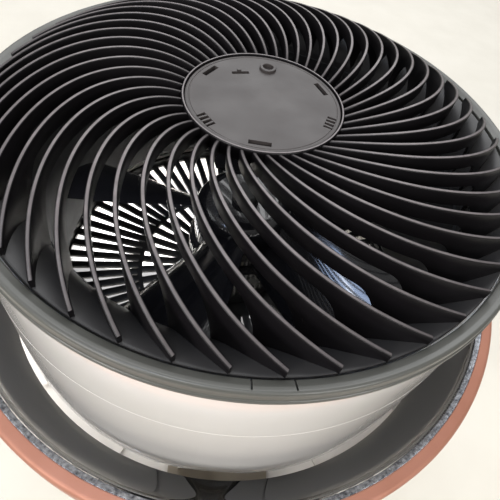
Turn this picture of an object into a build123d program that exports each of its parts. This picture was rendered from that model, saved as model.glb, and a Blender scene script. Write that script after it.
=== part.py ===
from build123d import *
import math
import os

# Air circulator fan: a round head that faces straight up and tilts in a glossy
# dish, on a drum-shaped base with intake slots. Millimetres, +Z up, front is -Y.

# ---------------------------------------------------------------- driving sizes
# Front opening of the head
front_z = 225.0             # height of the front opening's plane
head_r = 150.0              # outer radius of the trim ring
trim_width = 6.1            # trim ring, inner edge to outer edge
trim_below = 4.5            # how far the trim ring reaches below the front plane
trim_inner_rise = 0.4       # inner edge above the front plane
trim_outer_rise = 2.9       # outer edge above the front plane
trim_lip = 0.7              # step at the ring's lower edge
latch_width = 16.0          # grille latch tab in the ring at six o'clock
latch_slit = 0.8
latch_azimuth = -88.6
grille_gap = 1.0            # dark gap between trim ring and grille
grille_plane_drop = 0.2

# Front grille
vane_count = 45
vane_thickness = 2.0
vane_sweep_deg = 50.43      # turn of each vane from hub to rim
vane_bow = 0.249            # how much later that turn comes than on an even spiral
vane_first_azimuth = 6.88
vane_root_height = 13.8     # top edge above the front plane at the hub
vane_crown_height = 22.6    # and half way out
vane_tip_height = 4.6       # and at the rim
vane_root_depth = 15.0      # how deep the vanes are, hub, half way and rim
vane_crown_depth = 17.0
throat_r = 123.0            # narrow end of the rim's funnel
throat_depth = 19.0
throat_collar = 4.0
funnel_wall = 2.4
funnel_bow = 3.2            # how far the funnel wall bows out of a plain cone
hub_r = 44.2
hub_wall = 1.6
hub_rim_height = 15.0
hub_floor_height = 9.0
hub_floor = 2.0

# Hub plate: the bare carrier of a snap-on centre cap
plate_thickness = 3.0
plate_clearance = 0.3
cap_slot_azimuth = -94.0
cap_slot_r = 36.5
cap_slot_size = (11.5, 3.0)
cap_snap_azimuth = -22.0
cap_snap_r = 37.5
cap_snap_size = (10.0, 5.0)
cap_tab_azimuth = 121.0
cap_tab_r = 26.0
cap_tab_size = (10.0, 2.4)
cap_boss_azimuth = 85.4
cap_boss_r = 29.8
cap_boss_outer_r = 4.8
cap_boss_inner_r = 2.6
cap_boss_height = 1.6
pocket_depth = 2.2

# Head housing
wall = 2.6
seam_depth = 48.0           # parting line below the front plane
seam_gap = 0.5
tongue = 4.0
pivot_depth = 110.0         # tilt axis below the front plane
head_back_depth = 152.0     # back edge of the rear shell below the front plane
head_bulge = 0.6            # the housing is this much wider at the tilt axis
back_opening_r = 130.6
back_ledge_depth = 139.4    # top of the ledge that the rear grille screws to
ledge_width = 8.1
grip_azimuth = -93.0        # arched finger grip at six o'clock
grip_r = 34.0
grip_centre_depth = 142.0
grip_clearance = 0.3
grip_cup_depth = 10.0
grip_scoop_r = 36.0
grip_floor = 1.8            # thinnest wall at the bottom of the scoop

# Air duct and rear grille
duct_r = 121.5
duct_wall = 2.4
duct_inlet_depth = 128.0    # lower edge of the duct below the front plane
duct_lip = 3.0
duct_legs = 6
leg_boss_r = 3.6
leg_rib = 2.4
rear_plate = 2.4
rear_flange_r = 137.6
rear_wall_r = 128.0         # upright wall of the tray-shaped rear grille
rear_tray_depth = 5.0
rear_centre_r = 40.0
rear_centre_extra = 0.6     # the motor's seat is this much thicker than the bars
rear_bar_width = 5.3        # bars between the wedge-shaped slits
outer_slits = 75
outer_slit_span = (73.7, 126.0)
inner_slits = 45
inner_slit_span = (45.0, 70.7)

# Motor and impeller
motor_r = 36.0
motor_length = 42.0
motor_wall = 1.6
motor_cap = 3.0
stator_thickness = 14.0
air_gap = 0.4
shaft_r = 4.0
bearing_r = 9.0
bearing_width = 5.0
running_clearance = 0.04
blade_count = 5
blade_first_azimuth = 27.0
impeller_hub_r = 33.0
impeller_hub_depth = 32.0
impeller_hub_wall = 2.2
impeller_gap = 4.0          # between the motor's front cap and the impeller
tip_clearance = 3.5
blade_thickness = 2.4
blade_root_chord = 50.0
blade_mid_chord = 66.0
blade_tip_chord = 76.0
blade_root_pitch = 46.0
blade_mid_pitch = 33.0
blade_tip_pitch = 25.0
nut_r = 9.0
nut_height = 7.0

# Tilt pivots and swinging yoke
pin_r = 4.0
pin_boss_r = 9.0
bush_wall = 1.5
yoke_boss_r = 10.0
yoke_width = 40.0
yoke_arm = 7.6
yoke_bar = 6.0
swing_gap = 0.5             # between swinging and fixed rims

# Dish, rims and base
dish_lip_gap = 2.4          # between the head's widest girth and the dish lip
dish_lip_depth = 126.0      # dish lip below the front plane
dish_rim_r = 170.3
dish_rim_depth = 91.2
dish_wall = 2.6
bevel_width = 2.8
copper_width = 6.9
copper_height = 7.4
copper_skirt = 6.0
base_wall = 3.0
base_taper = 2.0
base_clearance = 5.0        # foot height: base shell above the floor
base_floor_thickness = 3.0
foot_r = 10.0
foot_circle_r = 150.0
foot_count = 4
slot_count = 60
slot_width = 8.0
slot_low = 34.0
slot_high = 112.0
bearing_height = 3.0
spindle_r = 10.0
clip_height = 2.0
rib_height = 2.0            # floor ribs, which carry the ballast and the supply board
rib_count = 12
ballast_height = 6.0
ballast_inner_r = 104.0
ballast_outer_r = 154.0
screw_r = 1.5
screw_head_r = 3.0
screw_head_height = 1.8
screw_clearance = 0.1

# Swing drive
gear_module = 2.5
gear_teeth = 40
pinion_teeth = 12
gear_height = 6.0
gear_arc_deg = 124.0
backlash = 0.45
swing_motor_r = 14.0
swing_motor_height = 15.0
bracket_thickness = 2.0
pinion_shaft_r = 2.5
pinion_shaft_reach = 7.5    # length of the pinion's shaft inside the motor

# Controls on the front of the base
panel_half_width = 56.0
panel_low = 32.0
panel_high = 94.0
panel_face_y = -168.0
panel_thickness = 3.0
knob_r = 16.0
knob_depth = 9.6
knob_flutes = 18
knob_shaft_r = 3.0
knob_rest_deg = -135.0      # the pointer rests at the lower left, off
button_r = 6.8
button_offset = 36.0
button_proud = 2.8
button_travel = 1.5
button_clearance = 0.3
button_flange = 1.4
board_gap = 8.0             # panel back to board
board_thickness = 1.6
light_r = 1.3
light_pitch = 9.0
power_board_y = -119.0

# Power socket at the back
socket_width = 24.0
socket_height = 14.0
socket_depth = 18.0
socket_wall = 3.5
socket_pocket = 12.0

# ---------------------------------------------------------------- derived places
pivot_z = front_z - pivot_depth
girth_r = head_r + head_bulge
trim_inner_r = head_r - trim_width
grille_r = trim_inner_r - grille_gap
rim_r = grille_r - 0.9
vane_tip_r = grille_r - 0.6
hub_inner_r = hub_r - hub_wall
plate_r = hub_inner_r - plate_clearance
plate_low = front_z + hub_floor_height + hub_floor
plate_top = plate_low + plate_thickness
ledge_top = front_z - trim_below
back_z = front_z - head_back_depth
back_ledge_z = front_z - back_ledge_depth
duct_front_z = front_z - throat_depth - throat_collar
duct_inlet_z = front_z - duct_inlet_depth
rear_top_z = back_ledge_z - wall
motor_back_z = rear_top_z - rear_tray_depth
rear_seat_z = motor_back_z - rear_plate - rear_centre_extra
motor_front_z = motor_back_z + motor_length
cap_front_z = motor_front_z + motor_cap
impeller_back_z = cap_front_z + impeller_gap
impeller_front_z = impeller_back_z + impeller_hub_depth
blade_mid_z = impeller_back_z + impeller_hub_depth / 2
blade_tip_r = duct_r - tip_clearance

dish_lip_r = girth_r + dish_lip_gap
dish_lip_z = front_z - dish_lip_depth
dish_rim_z = front_z - dish_rim_depth
bevel_inner_r = dish_rim_r + swing_gap
bevel_outer_r = bevel_inner_r + bevel_width
copper_outer_r = bevel_outer_r + copper_width
rim_top_z = dish_rim_z + 1.6
shell_top_z = rim_top_z - copper_height
shell_r = copper_outer_r - 1.0
shell_foot_r = shell_r - base_taper
floor_low_z = base_clearance + base_wall
floor_top_z = floor_low_z + base_floor_thickness
floor_r = shell_foot_r - base_wall - 3.6
gear_low_z = floor_top_z + bearing_height
gear_top_z = gear_low_z + gear_height
yoke_top_z = gear_top_z + yoke_bar
arm_outer_r = dish_rim_r
arm_inner_x = arm_outer_r - yoke_arm
arm_top_z = dish_rim_z - 22.0

gear_pitch_r = gear_module * gear_teeth / 2
pinion_pitch_r = gear_module * pinion_teeth / 2
pinion_y = gear_pitch_r + pinion_pitch_r
bracket_low_z = gear_top_z + 1.0
bracket_top_z = bracket_low_z + bracket_thickness

panel_back_y = panel_face_y + panel_thickness
panel_mid_z = (panel_low + panel_high) / 2
board_y = panel_back_y + board_gap


# ---------------------------------------------------------------- small helpers
def turned(points):
    """Solid of revolution about Z from a closed outline of (radius, height)."""
    outline = Polyline(*points, close=True)
    return revolve(Plane.XZ * make_face(outline), Axis.Z)


def turned_edges(edges):
    """Solid of revolution about Z from a closed chain of edges in (radius, height)."""
    return revolve(Plane.XZ * make_face(edges), Axis.Z)


def tube(inner_r, outer_r, low, high):
    """Plain ring between two heights."""
    return turned([(inner_r, low), (outer_r, low), (outer_r, high), (inner_r, high)])


def disc(radius, low, high):
    """Plain round plate between two heights."""
    return turned([(0, low), (radius, low), (radius, high), (0, high)])


def block(x_low, x_high, y_low, y_high, z_low, z_high):
    """Box between corner values."""
    size = (x_high - x_low, y_high - y_low, z_high - z_low)
    return Pos(x_low, y_low, z_low) * Box(*size, align=(Align.MIN, Align.MIN, Align.MIN))


def rod_x(radius, x_low, x_high, z):
    """Cylinder along X through the centre line at height z."""
    body = Cylinder(radius, x_high - x_low, align=(Align.CENTER, Align.CENTER, Align.MIN))
    return Pos(x_low, 0, z) * Rot(0, 90, 0) * body


def rod_y(radius, y_low, y_high, x, z):
    """Cylinder along Y."""
    body = Cylinder(radius, y_high - y_low, align=(Align.CENTER, Align.CENTER, Align.MIN))
    return Pos(x, y_low, z) * Rot(-90, 0, 0) * body


def rod_z(radius, low, high, x=0.0, y=0.0):
    """Cylinder along Z."""
    body = Cylinder(radius, high - low, align=(Align.CENTER, Align.CENTER, Align.MIN))
    return Pos(x, y, low) * body


def around(solid, count, first=0.0):
    """Copies of a solid spaced evenly about Z."""
    return [Rot(0, 0, first + 360.0 * i / count) * solid for i in range(count)]


def polar(radius, azimuth):
    """Point on a circle, azimuth in degrees from +X."""
    angle = math.radians(azimuth)
    return radius * math.cos(angle), radius * math.sin(angle)


def screw(x, y, seat_z, length, up):
    """Plain screw whose head sits at seat_z; up is +1 if the shank points up."""
    if up > 0:
        head = rod_z(screw_head_r, seat_z - screw_head_height, seat_z, x, y)
        shank = rod_z(screw_r, seat_z, seat_z + length, x, y)
    else:
        head = rod_z(screw_head_r, seat_z, seat_z + screw_head_height, x, y)
        shank = rod_z(screw_r, seat_z - length, seat_z, x, y)
    return head + shank


def screw_hole(x, y, low, high):
    """Clearance hole for a screw's shank."""
    return rod_z(screw_r + screw_clearance, low, high, x, y)


# ---------------------------------------------------------------- front of the head
def trim_ring():
    """Grey ring round the opening, with the grille's latch tab at six o'clock."""
    low = front_z - trim_below
    ring = turned([
        (trim_inner_r, low),
        (trim_inner_r, front_z + trim_inner_rise),
        (trim_inner_r + 0.5, front_z + trim_inner_rise + 0.4),
        (head_r - 1.2, front_z + trim_outer_rise),
        (head_r - 0.3, front_z + trim_outer_rise - 0.3),
        (head_r, front_z + trim_outer_rise - 1.2),
        (head_r, low + 1.9),
        (head_r + trim_lip, low + 1.2),
        (head_r + trim_lip, low),
    ])
    slit = block(trim_inner_r - 1, head_r - 1.8, -latch_slit / 2, latch_slit / 2,
                 front_z - 1.5, front_z + trim_outer_rise + 1)
    half_angle = math.degrees(latch_width / 2 / head_r)
    for side in (-1, 1):
        ring -= Rot(0, 0, latch_azimuth + side * half_angle) * slit
    return ring


def funnel_curve(shift):
    """Arc of the funnel from rim to throat, moved out into the wall by shift."""
    top = (rim_r + shift * 0.3, front_z - grille_plane_drop - shift)
    low = (throat_r + shift, front_z - throat_depth)
    middle = ((top[0] + low[0]) / 2 - funnel_bow * 0.5 + shift * 0.3,
              (top[1] + low[1]) / 2 + funnel_bow)
    return top, middle, low


def grille_rim():
    """Funnel-shaped rim that carries the vanes' outer ends."""
    top, middle, low = funnel_curve(0.0)
    foot_z = front_z - throat_depth - throat_collar
    outer_low = (throat_r + funnel_wall, front_z - throat_depth)
    outer_top = (grille_r - 3.0, ledge_top)
    outer_middle = (middle[0] + funnel_wall * 0.9, middle[1] - funnel_wall * 0.8)
    edges = [
        ThreePointArc(top, middle, low),
        Line(low, (throat_r, foot_z)),
        Line((throat_r, foot_z), (throat_r + funnel_wall, foot_z)),
        Line((throat_r + funnel_wall, foot_z), outer_low),
        ThreePointArc(outer_low, outer_middle, outer_top),
        Line(outer_top, (grille_r, ledge_top)),
        Line((grille_r, ledge_top), (grille_r, top[1])),
        Line((grille_r, top[1]), top),
    ]
    return turned_edges(edges)


def grille_hub():
    """Round cup in the middle of the grille that holds the hub plate."""
    foot_z = front_z + vane_root_height - vane_root_depth
    return turned([
        (0, front_z + hub_floor_height),
        (hub_inner_r - 2.0, front_z + hub_floor_height),
        (hub_inner_r - 2.0, foot_z),
        (hub_r, foot_z),
        (hub_r, front_z + hub_rim_height - 0.8),
        (hub_r - 0.5, front_z + hub_rim_height),
        (hub_inner_r, front_z + hub_rim_height),
        (hub_inner_r, plate_low),
        (0, plate_low),
    ])


def vane_point(share, side):
    """Plan point on a vane's face; share runs from 0 at the hub to 1 at the rim."""
    root_r = hub_r - hub_wall / 2

    def centre(t):
        radius = root_r + (vane_tip_r - root_r) * t
        return polar(radius, vane_sweep_deg * (t - vane_bow * t * (1 - t)))

    step = 0.01
    x, y = centre(share)
    ahead_x, ahead_y = centre(share + step)
    back_x, back_y = centre(share - step)
    run_x, run_y = ahead_x - back_x, ahead_y - back_y
    length = math.hypot(run_x, run_y)
    offset = side * vane_thickness / 2
    return x - run_y / length * offset, y + run_x / length * offset


def vane_envelope():
    """Turned space between the domed top edges and the lower edges of the vanes."""
    root_r = hub_r - hub_wall / 2
    mid_r = (root_r + vane_tip_r) / 2
    top_root = (root_r, front_z + vane_root_height)
    top_mid = (mid_r, front_z + vane_crown_height)
    top_tip = (vane_tip_r, front_z + vane_tip_height)
    wall_top, wall_mid, wall_low = funnel_curve(funnel_wall / 2)
    low_root = (root_r, front_z + vane_root_height - vane_root_depth)
    low_mid = (mid_r, front_z + vane_crown_height - vane_crown_depth)
    edges = [
        ThreePointArc(top_root, top_mid, top_tip),
        Line(top_tip, wall_top),
        ThreePointArc(wall_top, wall_mid, wall_low),
        ThreePointArc(wall_low, low_mid, low_root),
        Line(low_root, top_root),
    ]
    return turned_edges(edges)


def single_vane():
    """One swirled vane: a curved strip trimmed by the dome and the funnel."""
    left = [vane_point(i / 4, 1) for i in range(5)]
    right = [vane_point(i / 4, -1) for i in range(5)]
    outline = [
        ThreePointArc(*left[:3]),
        ThreePointArc(*left[2:]),
        Line(left[-1], right[-1]),
        ThreePointArc(*right[:1:-1]),
        ThreePointArc(*right[2::-1]),
        Line(right[0], left[0]),
    ]
    low = front_z - throat_depth - 2
    height = throat_depth + vane_crown_height + 6
    strip = Pos(0, 0, low) * extrude(make_face(outline), height)
    return strip & vane_envelope()


def front_grille():
    """Black grille: rim, hub and forty-five swirled vanes in one moulding."""
    vanes = around(single_vane(), vane_count, vane_first_azimuth)
    return grille_rim().fuse(grille_hub(), *vanes)


def on_plate(solid, radius, azimuth, turn=0.0):
    """Places a feature on the hub plate, its long side along the rim."""
    x, y = polar(radius, azimuth)
    return Pos(x, y, plate_top) * Rot(0, 0, azimuth + 90 + turn) * solid


def hub_plate():
    """Grey plate in the hub with the slots, snaps and boss for a centre cap."""
    plate = turned([
        (0, plate_low),
        (plate_r, plate_low),
        (plate_r, plate_top - 0.4),
        (plate_r - 0.4, plate_top),
        (0, plate_top),
    ])
    slot = Box(cap_slot_size[0], cap_slot_size[1], 2 * pocket_depth)
    for i in range(3):
        plate -= on_plate(slot, cap_slot_r, cap_slot_azimuth + 120 * i)
    snap = Box(cap_snap_size[0], cap_snap_size[1], 2 * pocket_depth)
    for i in range(3):
        snap -= Pos((i - 1) * 3.0, 0, 0) * Box(1.1, cap_snap_size[1] - 1.0, 2 * pocket_depth)
    for i in range(2):
        plate -= on_plate(snap, cap_snap_r, cap_snap_azimuth - 120 * i)
    tab = Box(cap_tab_size[0], cap_tab_size[1], 2 * pocket_depth)
    plate -= on_plate(tab, cap_tab_r, cap_tab_azimuth, -17)
    bx, by = polar(cap_boss_r, cap_boss_azimuth)
    plate += rod_z(cap_boss_outer_r, plate_low, plate_top + cap_boss_height, bx, by)
    return plate - rod_z(cap_boss_inner_r, plate_low + 0.6, plate_top + 5, bx, by)


# ---------------------------------------------------------------- head housing
def grip_prism(radius, inner_r, outer_r):
    """Arched prism along the grip's direction, open towards the back."""
    centre_z = front_z - grip_centre_depth
    body = Pos(inner_r, 0, centre_z) * Rot(0, 90, 0) * Cylinder(
        radius, outer_r - inner_r, align=(Align.CENTER, Align.CENTER, Align.MIN))
    body += block(inner_r, outer_r, -radius, radius, back_z - 4, centre_z)
    return Rot(0, 0, grip_azimuth) * body


def head_shell_front():
    """White upper shell from the trim ring down to the parting line."""
    seam_z = front_z - seam_depth
    return turned([
        (head_r - 0.7, ledge_top),
        (head_r, seam_z),
        (head_r - wall, seam_z),
        (head_r - 0.7 - wall, ledge_top - wall),
        (head_r - 0.7 - ledge_width, ledge_top - wall),
        (head_r - 0.7 - ledge_width, ledge_top),
    ])


def pin_boss(side):
    """Boss inside the rear shell that grips one tilt pin."""
    low = girth_r - 17.0
    high = girth_r - wall / 2
    return rod_x(pin_boss_r, low, high, pivot_z) if side > 0 else \
        rod_x(pin_boss_r, -high, -low, pivot_z)


def head_shell_rear():
    """White lower shell, round about the tilt axis, with the arched grip opening."""
    seam_z = front_z - seam_depth - seam_gap
    inner_r = girth_r - wall

    def outer_at(z):
        return math.sqrt(girth_r ** 2 - (pivot_z - z) ** 2)

    def inner_at(z):
        return math.sqrt(inner_r ** 2 - (pivot_z - z) ** 2)

    bow = math.radians(8)
    tongue_r = head_r - wall - 0.3
    edges = [
        Line((head_r, seam_z), (girth_r, pivot_z)),
        ThreePointArc((girth_r, pivot_z),
                      (girth_r * math.cos(bow), pivot_z - girth_r * math.sin(bow)),
                      (outer_at(back_z), back_z)),
        Line((outer_at(back_z), back_z), (inner_at(back_z), back_z)),
        Line((inner_at(back_z), back_z), (inner_at(rear_top_z), rear_top_z)),
        Line((inner_at(rear_top_z), rear_top_z), (back_opening_r, rear_top_z)),
        Line((back_opening_r, rear_top_z), (back_opening_r, back_ledge_z)),
        Line((back_opening_r, back_ledge_z), (inner_at(back_ledge_z), back_ledge_z)),
        ThreePointArc((inner_at(back_ledge_z), back_ledge_z),
                      (inner_r * math.cos(bow / 2), pivot_z - inner_r * math.sin(bow / 2)),
                      (inner_r, pivot_z)),
        Line((inner_r, pivot_z), (tongue_r - 1.8, seam_z - tongue)),
        Line((tongue_r - 1.8, seam_z - tongue), (tongue_r - 1.8, seam_z + tongue)),
        Line((tongue_r - 1.8, seam_z + tongue), (tongue_r, seam_z + tongue)),
        Line((tongue_r, seam_z + tongue), (tongue_r, seam_z)),
        Line((tongue_r, seam_z), (head_r, seam_z)),
    ]
    shell = turned_edges(edges)
    shell += pin_boss(1)
    shell += pin_boss(-1)
    shell -= rod_x(pin_r, girth_r - 15.0, girth_r + 5.0, pivot_z)
    shell -= rod_x(pin_r, -girth_r - 5.0, -girth_r + 15.0, pivot_z)
    shell -= grip_prism(grip_r, girth_r - wall - 1.0 - grip_cup_depth, girth_r + 5)
    for x, y in rear_screw_points():
        shell -= screw_hole(x, y, rear_top_z - 1, back_ledge_z + 1)
    return shell


def grip_insert():
    """Glossy black scooped cup that lines the arched grip opening."""
    inner_r = girth_r - wall - grip_cup_depth
    cup = grip_prism(grip_r - grip_clearance, inner_r, girth_r + 2)
    envelope = Pos(0, 0, pivot_z) * Sphere(girth_r - 0.8)
    envelope += rod_z(girth_r - 0.8, pivot_z, front_z)
    cup = cup & envelope
    cup = cup & block(-head_r, head_r, -head_r - 5, 0, back_z, front_z)
    scoop = Pos(inner_r + grip_floor + grip_scoop_r, 0,
                front_z - grip_centre_depth - 4) * Sphere(grip_scoop_r)
    return cup - Rot(0, 0, grip_azimuth) * scoop


def rear_screw_points():
    """Six screws that hold the rear grille to the rear shell."""
    radius = (back_opening_r + rear_flange_r) / 2
    return [polar(radius, 360.0 * i / duct_legs) for i in range(duct_legs)]


def air_duct():
    """Black duct round the impeller, standing on six screwed legs."""
    outer_r = duct_r + duct_wall
    duct = turned([
        (duct_r, duct_front_z),
        (duct_r, duct_inlet_z),
        (outer_r + duct_lip, duct_inlet_z),
        (outer_r + duct_lip, duct_inlet_z + duct_wall),
        (outer_r, duct_inlet_z + duct_wall + duct_lip),
        (outer_r, duct_front_z),
    ])
    boss_x, _ = rear_screw_points()[0]
    leg = rod_z(leg_boss_r, back_ledge_z, duct_inlet_z + 4, boss_x, 0)
    leg += block(duct_r + 1, boss_x, -leg_rib / 2, leg_rib / 2,
                 duct_inlet_z + 0.6, duct_inlet_z + 4)
    leg += block(duct_r + duct_wall / 2, boss_x, -leg_rib / 2, leg_rib / 2,
                 duct_inlet_z + 3, duct_inlet_z + 16)
    leg -= Pos(boss_x, 0, duct_inlet_z + 16) * Rot(0, 45, 0) * Box(14, 8, 14)
    leg -= screw_hole(boss_x, 0, back_ledge_z - 1, back_ledge_z + 6)
    return duct.fuse(*around(leg, duct_legs))


def radial_slits(count, inner_r, outer_r):
    """Cutters for one band of radial slits that leave bars of even width."""
    def half_width(radius):
        return math.pi * radius / count - rear_bar_width / 2

    outline = Polyline(
        (inner_r, -half_width(inner_r)),
        (outer_r, -half_width(outer_r)),
        (outer_r, half_width(outer_r)),
        (inner_r, half_width(inner_r)),
        close=True)
    low = motor_back_z - 12
    cutter = Pos(0, 0, low) * extrude(make_face(outline), rear_top_z + 5 - low)
    return around(cutter, count)


def rear_grille():
    """Black tray-shaped back grille: two bands of radial slits round a motor seat."""
    bars_z = motor_back_z - rear_plate
    plate = turned([
        (rear_flange_r, rear_top_z),
        (rear_wall_r, rear_top_z),
        (rear_wall_r - 0.8, motor_back_z),
        (0, motor_back_z),
        (0, rear_seat_z),
        (rear_centre_r, rear_seat_z),
        (rear_centre_r + rear_centre_extra, bars_z),
        (rear_wall_r + 1.2, bars_z),
        (rear_wall_r + 2.0, rear_top_z - rear_plate),
        (rear_flange_r, rear_top_z - rear_plate),
    ])
    plate -= radial_slits(outer_slits, *outer_slit_span)
    plate -= radial_slits(inner_slits, *inner_slit_span)
    for x, y in rear_screw_points():
        plate -= screw_hole(x, y, rear_top_z - 9, rear_top_z + 1)
    for x, y in motor_screw_points():
        plate -= screw_hole(x, y, motor_back_z - 9, motor_back_z + 1)
    return plate - rod_z(shaft_r + 1, motor_back_z - 9, motor_back_z + 1)


def head_screws():
    """Screws through the rear grille into the rear shell."""
    seat = rear_top_z - rear_plate
    length = rear_plate + wall + 4.0
    return [screw(x, y, seat, length, 1) for x, y in rear_screw_points()]


def pin_solid(side):
    """One tilt pin, from its boss in the head out into the yoke's bush."""
    low, high = girth_r - 15.0, arm_outer_r - 1.5
    return rod_x(pin_r, low, high, pivot_z) if side > 0 else rod_x(pin_r, -high, -low, pivot_z)


def trunnion_pins():
    """Steel pins that the head tilts on."""
    return [pin_solid(1), pin_solid(-1)]


# ---------------------------------------------------------------- motor and impeller
def motor_screw_points():
    """Three screws through the rear grille into the motor."""
    return [polar(motor_r * 0.62, 90 + 120 * i) for i in range(3)]


def motor_can():
    """Motor casing seated on the middle of the rear grille."""
    can = turned([
        (shaft_r + 1, motor_back_z),
        (motor_r - 3, motor_back_z),
        (motor_r, motor_back_z + 3),
        (motor_r, motor_front_z),
        (motor_r - motor_wall, motor_front_z),
        (motor_r - motor_wall, motor_back_z + motor_wall + 2.4),
        (motor_r - motor_wall - 2.4, motor_back_z + motor_wall),
        (bearing_r + 2, motor_back_z + motor_wall),
        (bearing_r + 2, motor_back_z + motor_wall + bearing_width),
        (bearing_r, motor_back_z + motor_wall + bearing_width),
        (bearing_r, motor_back_z + motor_wall),
        (shaft_r + 1, motor_back_z + motor_wall),
    ])
    for x, y in motor_screw_points():
        can -= screw_hole(x, y, motor_back_z - 1, motor_back_z + 9)
    return can


def motor_front_cap():
    """Front cover of the motor with the second bearing seat."""
    return turned([
        (bearing_r, motor_front_z - 4),
        (bearing_r + 2.5, motor_front_z - 4),
        (bearing_r + 2.5, motor_front_z),
        (motor_r, motor_front_z),
        (motor_r - 2, cap_front_z),
        (shaft_r + 1, cap_front_z),
        (shaft_r + 1, motor_front_z - 4 + bearing_width),
        (bearing_r, motor_front_z - 4 + bearing_width),
    ])


def motor_bearings():
    """The two bearings of the motor shaft."""
    bore = shaft_r + running_clearance
    back = motor_back_z + motor_wall
    front = motor_front_z - 4
    return [tube(bore, bearing_r, back, back + bearing_width),
            tube(bore, bearing_r, front, front + bearing_width)]


def motor_stator():
    """Wound stack fixed in the motor casing, with slots between its poles."""
    outer = motor_r - motor_wall
    low = motor_back_z + motor_wall + bearing_width + 3
    high = motor_front_z - 7
    stack = tube(outer - stator_thickness, outer, low, high)
    gap = block(outer - stator_thickness - 1, outer - 4, -1.5, 1.5, low - 1, high + 1)
    return stack - around(gap, 9)


def motor_rotor():
    """Magnet rotor on the shaft inside the stator."""
    outer = motor_r - motor_wall - stator_thickness - air_gap
    low = motor_back_z + motor_wall + bearing_width + 3
    high = motor_front_z - 7
    return tube(shaft_r, outer, low, high)


def motor_screws():
    """Screws that hold the motor to the rear grille."""
    length = rear_plate + rear_centre_extra + motor_wall
    return [screw(x, y, rear_seat_z, length, 1) for x, y in motor_screw_points()]


def motor_shaft():
    """Steel shaft from the rear bearing to the impeller's nut."""
    return rod_z(shaft_r, motor_back_z + motor_wall, impeller_front_z + nut_height - 2)


def blade_section(radius, chord, pitch):
    """Cambered blade section on a plane square to the blade's length."""
    half = chord / 2
    camber = chord * 0.07
    thick = blade_thickness / 2
    outline = [
        ThreePointArc((-half, 0), (0, camber + thick), (half, 0)),
        ThreePointArc((half, 0), (0, camber - thick), (-half, 0)),
    ]
    plane = Plane(origin=(radius, 0, blade_mid_z), x_dir=(0, 1, 0), z_dir=(1, 0, 0))
    return plane * (Rot(0, 0, pitch) * make_face(outline))


def impeller():
    """Five pitched blades on a domed hub."""
    hub = turned([
        (0, impeller_front_z),
        (impeller_hub_r - 11, impeller_front_z),
        (impeller_hub_r - 4, impeller_front_z - 4),
        (impeller_hub_r, impeller_front_z - 12),
        (impeller_hub_r, impeller_back_z),
        (impeller_hub_r - impeller_hub_wall, impeller_back_z),
        (impeller_hub_r - impeller_hub_wall, impeller_front_z - 13),
        (impeller_hub_r - 12, impeller_front_z - 3),
        (shaft_r + 5, impeller_front_z - 3),
        (shaft_r + 5, impeller_back_z + 6),
        (0, impeller_back_z + 6),
    ])
    sections = [
        blade_section(impeller_hub_r - 1.5, blade_root_chord, blade_root_pitch),
        blade_section((impeller_hub_r + blade_tip_r) / 2, blade_mid_chord, blade_mid_pitch),
        blade_section(blade_tip_r + 8, blade_tip_chord, blade_tip_pitch),
    ]
    blade = loft(sections)
    blade = blade & tube(impeller_hub_r - 1.0, blade_tip_r,
                         blade_mid_z - head_r, blade_mid_z + head_r)
    body = hub.fuse(*around(blade, blade_count, blade_first_azimuth))
    return body - rod_z(shaft_r, impeller_back_z, impeller_front_z + 1)


def impeller_nut():
    """Round retaining nut on the end of the shaft."""
    low = impeller_front_z
    nut = turned([
        (shaft_r, low),
        (nut_r, low),
        (nut_r, low + nut_height - 1.5),
        (nut_r - 1.5, low + nut_height),
        (0, low + nut_height),
        (0, low + nut_height - 2),
        (shaft_r, low + nut_height - 2),
    ])
    flute = rod_z(1.2, low + 1.5, low + nut_height + 1, nut_r + 0.5, 0)
    return nut - around(flute, 8)


# ---------------------------------------------------------------- dish and yoke
def dish_ring():
    """Glossy black dish round the head, with holes for the tilt bosses."""
    slope = math.atan2(dish_rim_z - dish_lip_z, dish_rim_r - dish_lip_r)
    across = dish_wall / math.sin(slope)
    skirt_r = dish_rim_r - dish_wall
    under_z = dish_rim_z - dish_wall * math.tan(slope) - dish_wall / math.cos(slope)
    ring = turned([
        (dish_lip_r, dish_lip_z),
        (dish_rim_r, dish_rim_z),
        (dish_rim_r, arm_top_z),
        (skirt_r, arm_top_z),
        (skirt_r, under_z),
        (dish_lip_r + across, dish_lip_z),
    ])
    for side in (-1, 1):
        x_low, x_high = sorted((side * dish_lip_r, side * (arm_outer_r + 1)))
        ring -= rod_x(yoke_boss_r + 0.3, x_low, x_high, pivot_z)
    return ring


def yoke():
    """Swinging yoke: a bar over the turntable and two arms with pivot bosses."""
    half = yoke_width / 2
    bar = block(-arm_outer_r, arm_outer_r, -half, half, gear_top_z, yoke_top_z)
    bar += disc(gear_pitch_r - 6, gear_top_z, yoke_top_z)
    for side in (-1, 1):
        x_low, x_high = sorted((side * arm_inner_x, side * arm_outer_r))
        bar += block(x_low, x_high, -half, half, gear_top_z, arm_top_z)
        bar += rod_x(yoke_boss_r, *sorted((side * (dish_lip_r + 1.5), side * arm_outer_r)), pivot_z)
        rib_low, rib_high = sorted((side * (arm_inner_x - 14), side * (arm_inner_x + 1)))
        rib = block(rib_low, rib_high, -2, 2, yoke_top_z - 1, yoke_top_z + 16)
        chamfer_cut = Pos(side * (arm_inner_x - 14), 0, yoke_top_z + 16) * Rot(0, 45, 0) * Box(
            21, 8, 21)
        bar += rib - chamfer_cut
    bar = bar & disc(arm_outer_r, gear_top_z, front_z)
    bar -= rod_z(spindle_r + 0.3, gear_top_z - 1, yoke_top_z + 1)
    for side in (-1, 1):
        x_low, x_high = sorted((side * dish_lip_r, side * (arm_outer_r + 1)))
        bar -= rod_x(pin_r + bush_wall, x_low, x_high, pivot_z)
    for x, y in yoke_screw_points():
        bar -= screw_hole(x, y, gear_top_z - 1, yoke_top_z + 1)
    return bar


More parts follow.
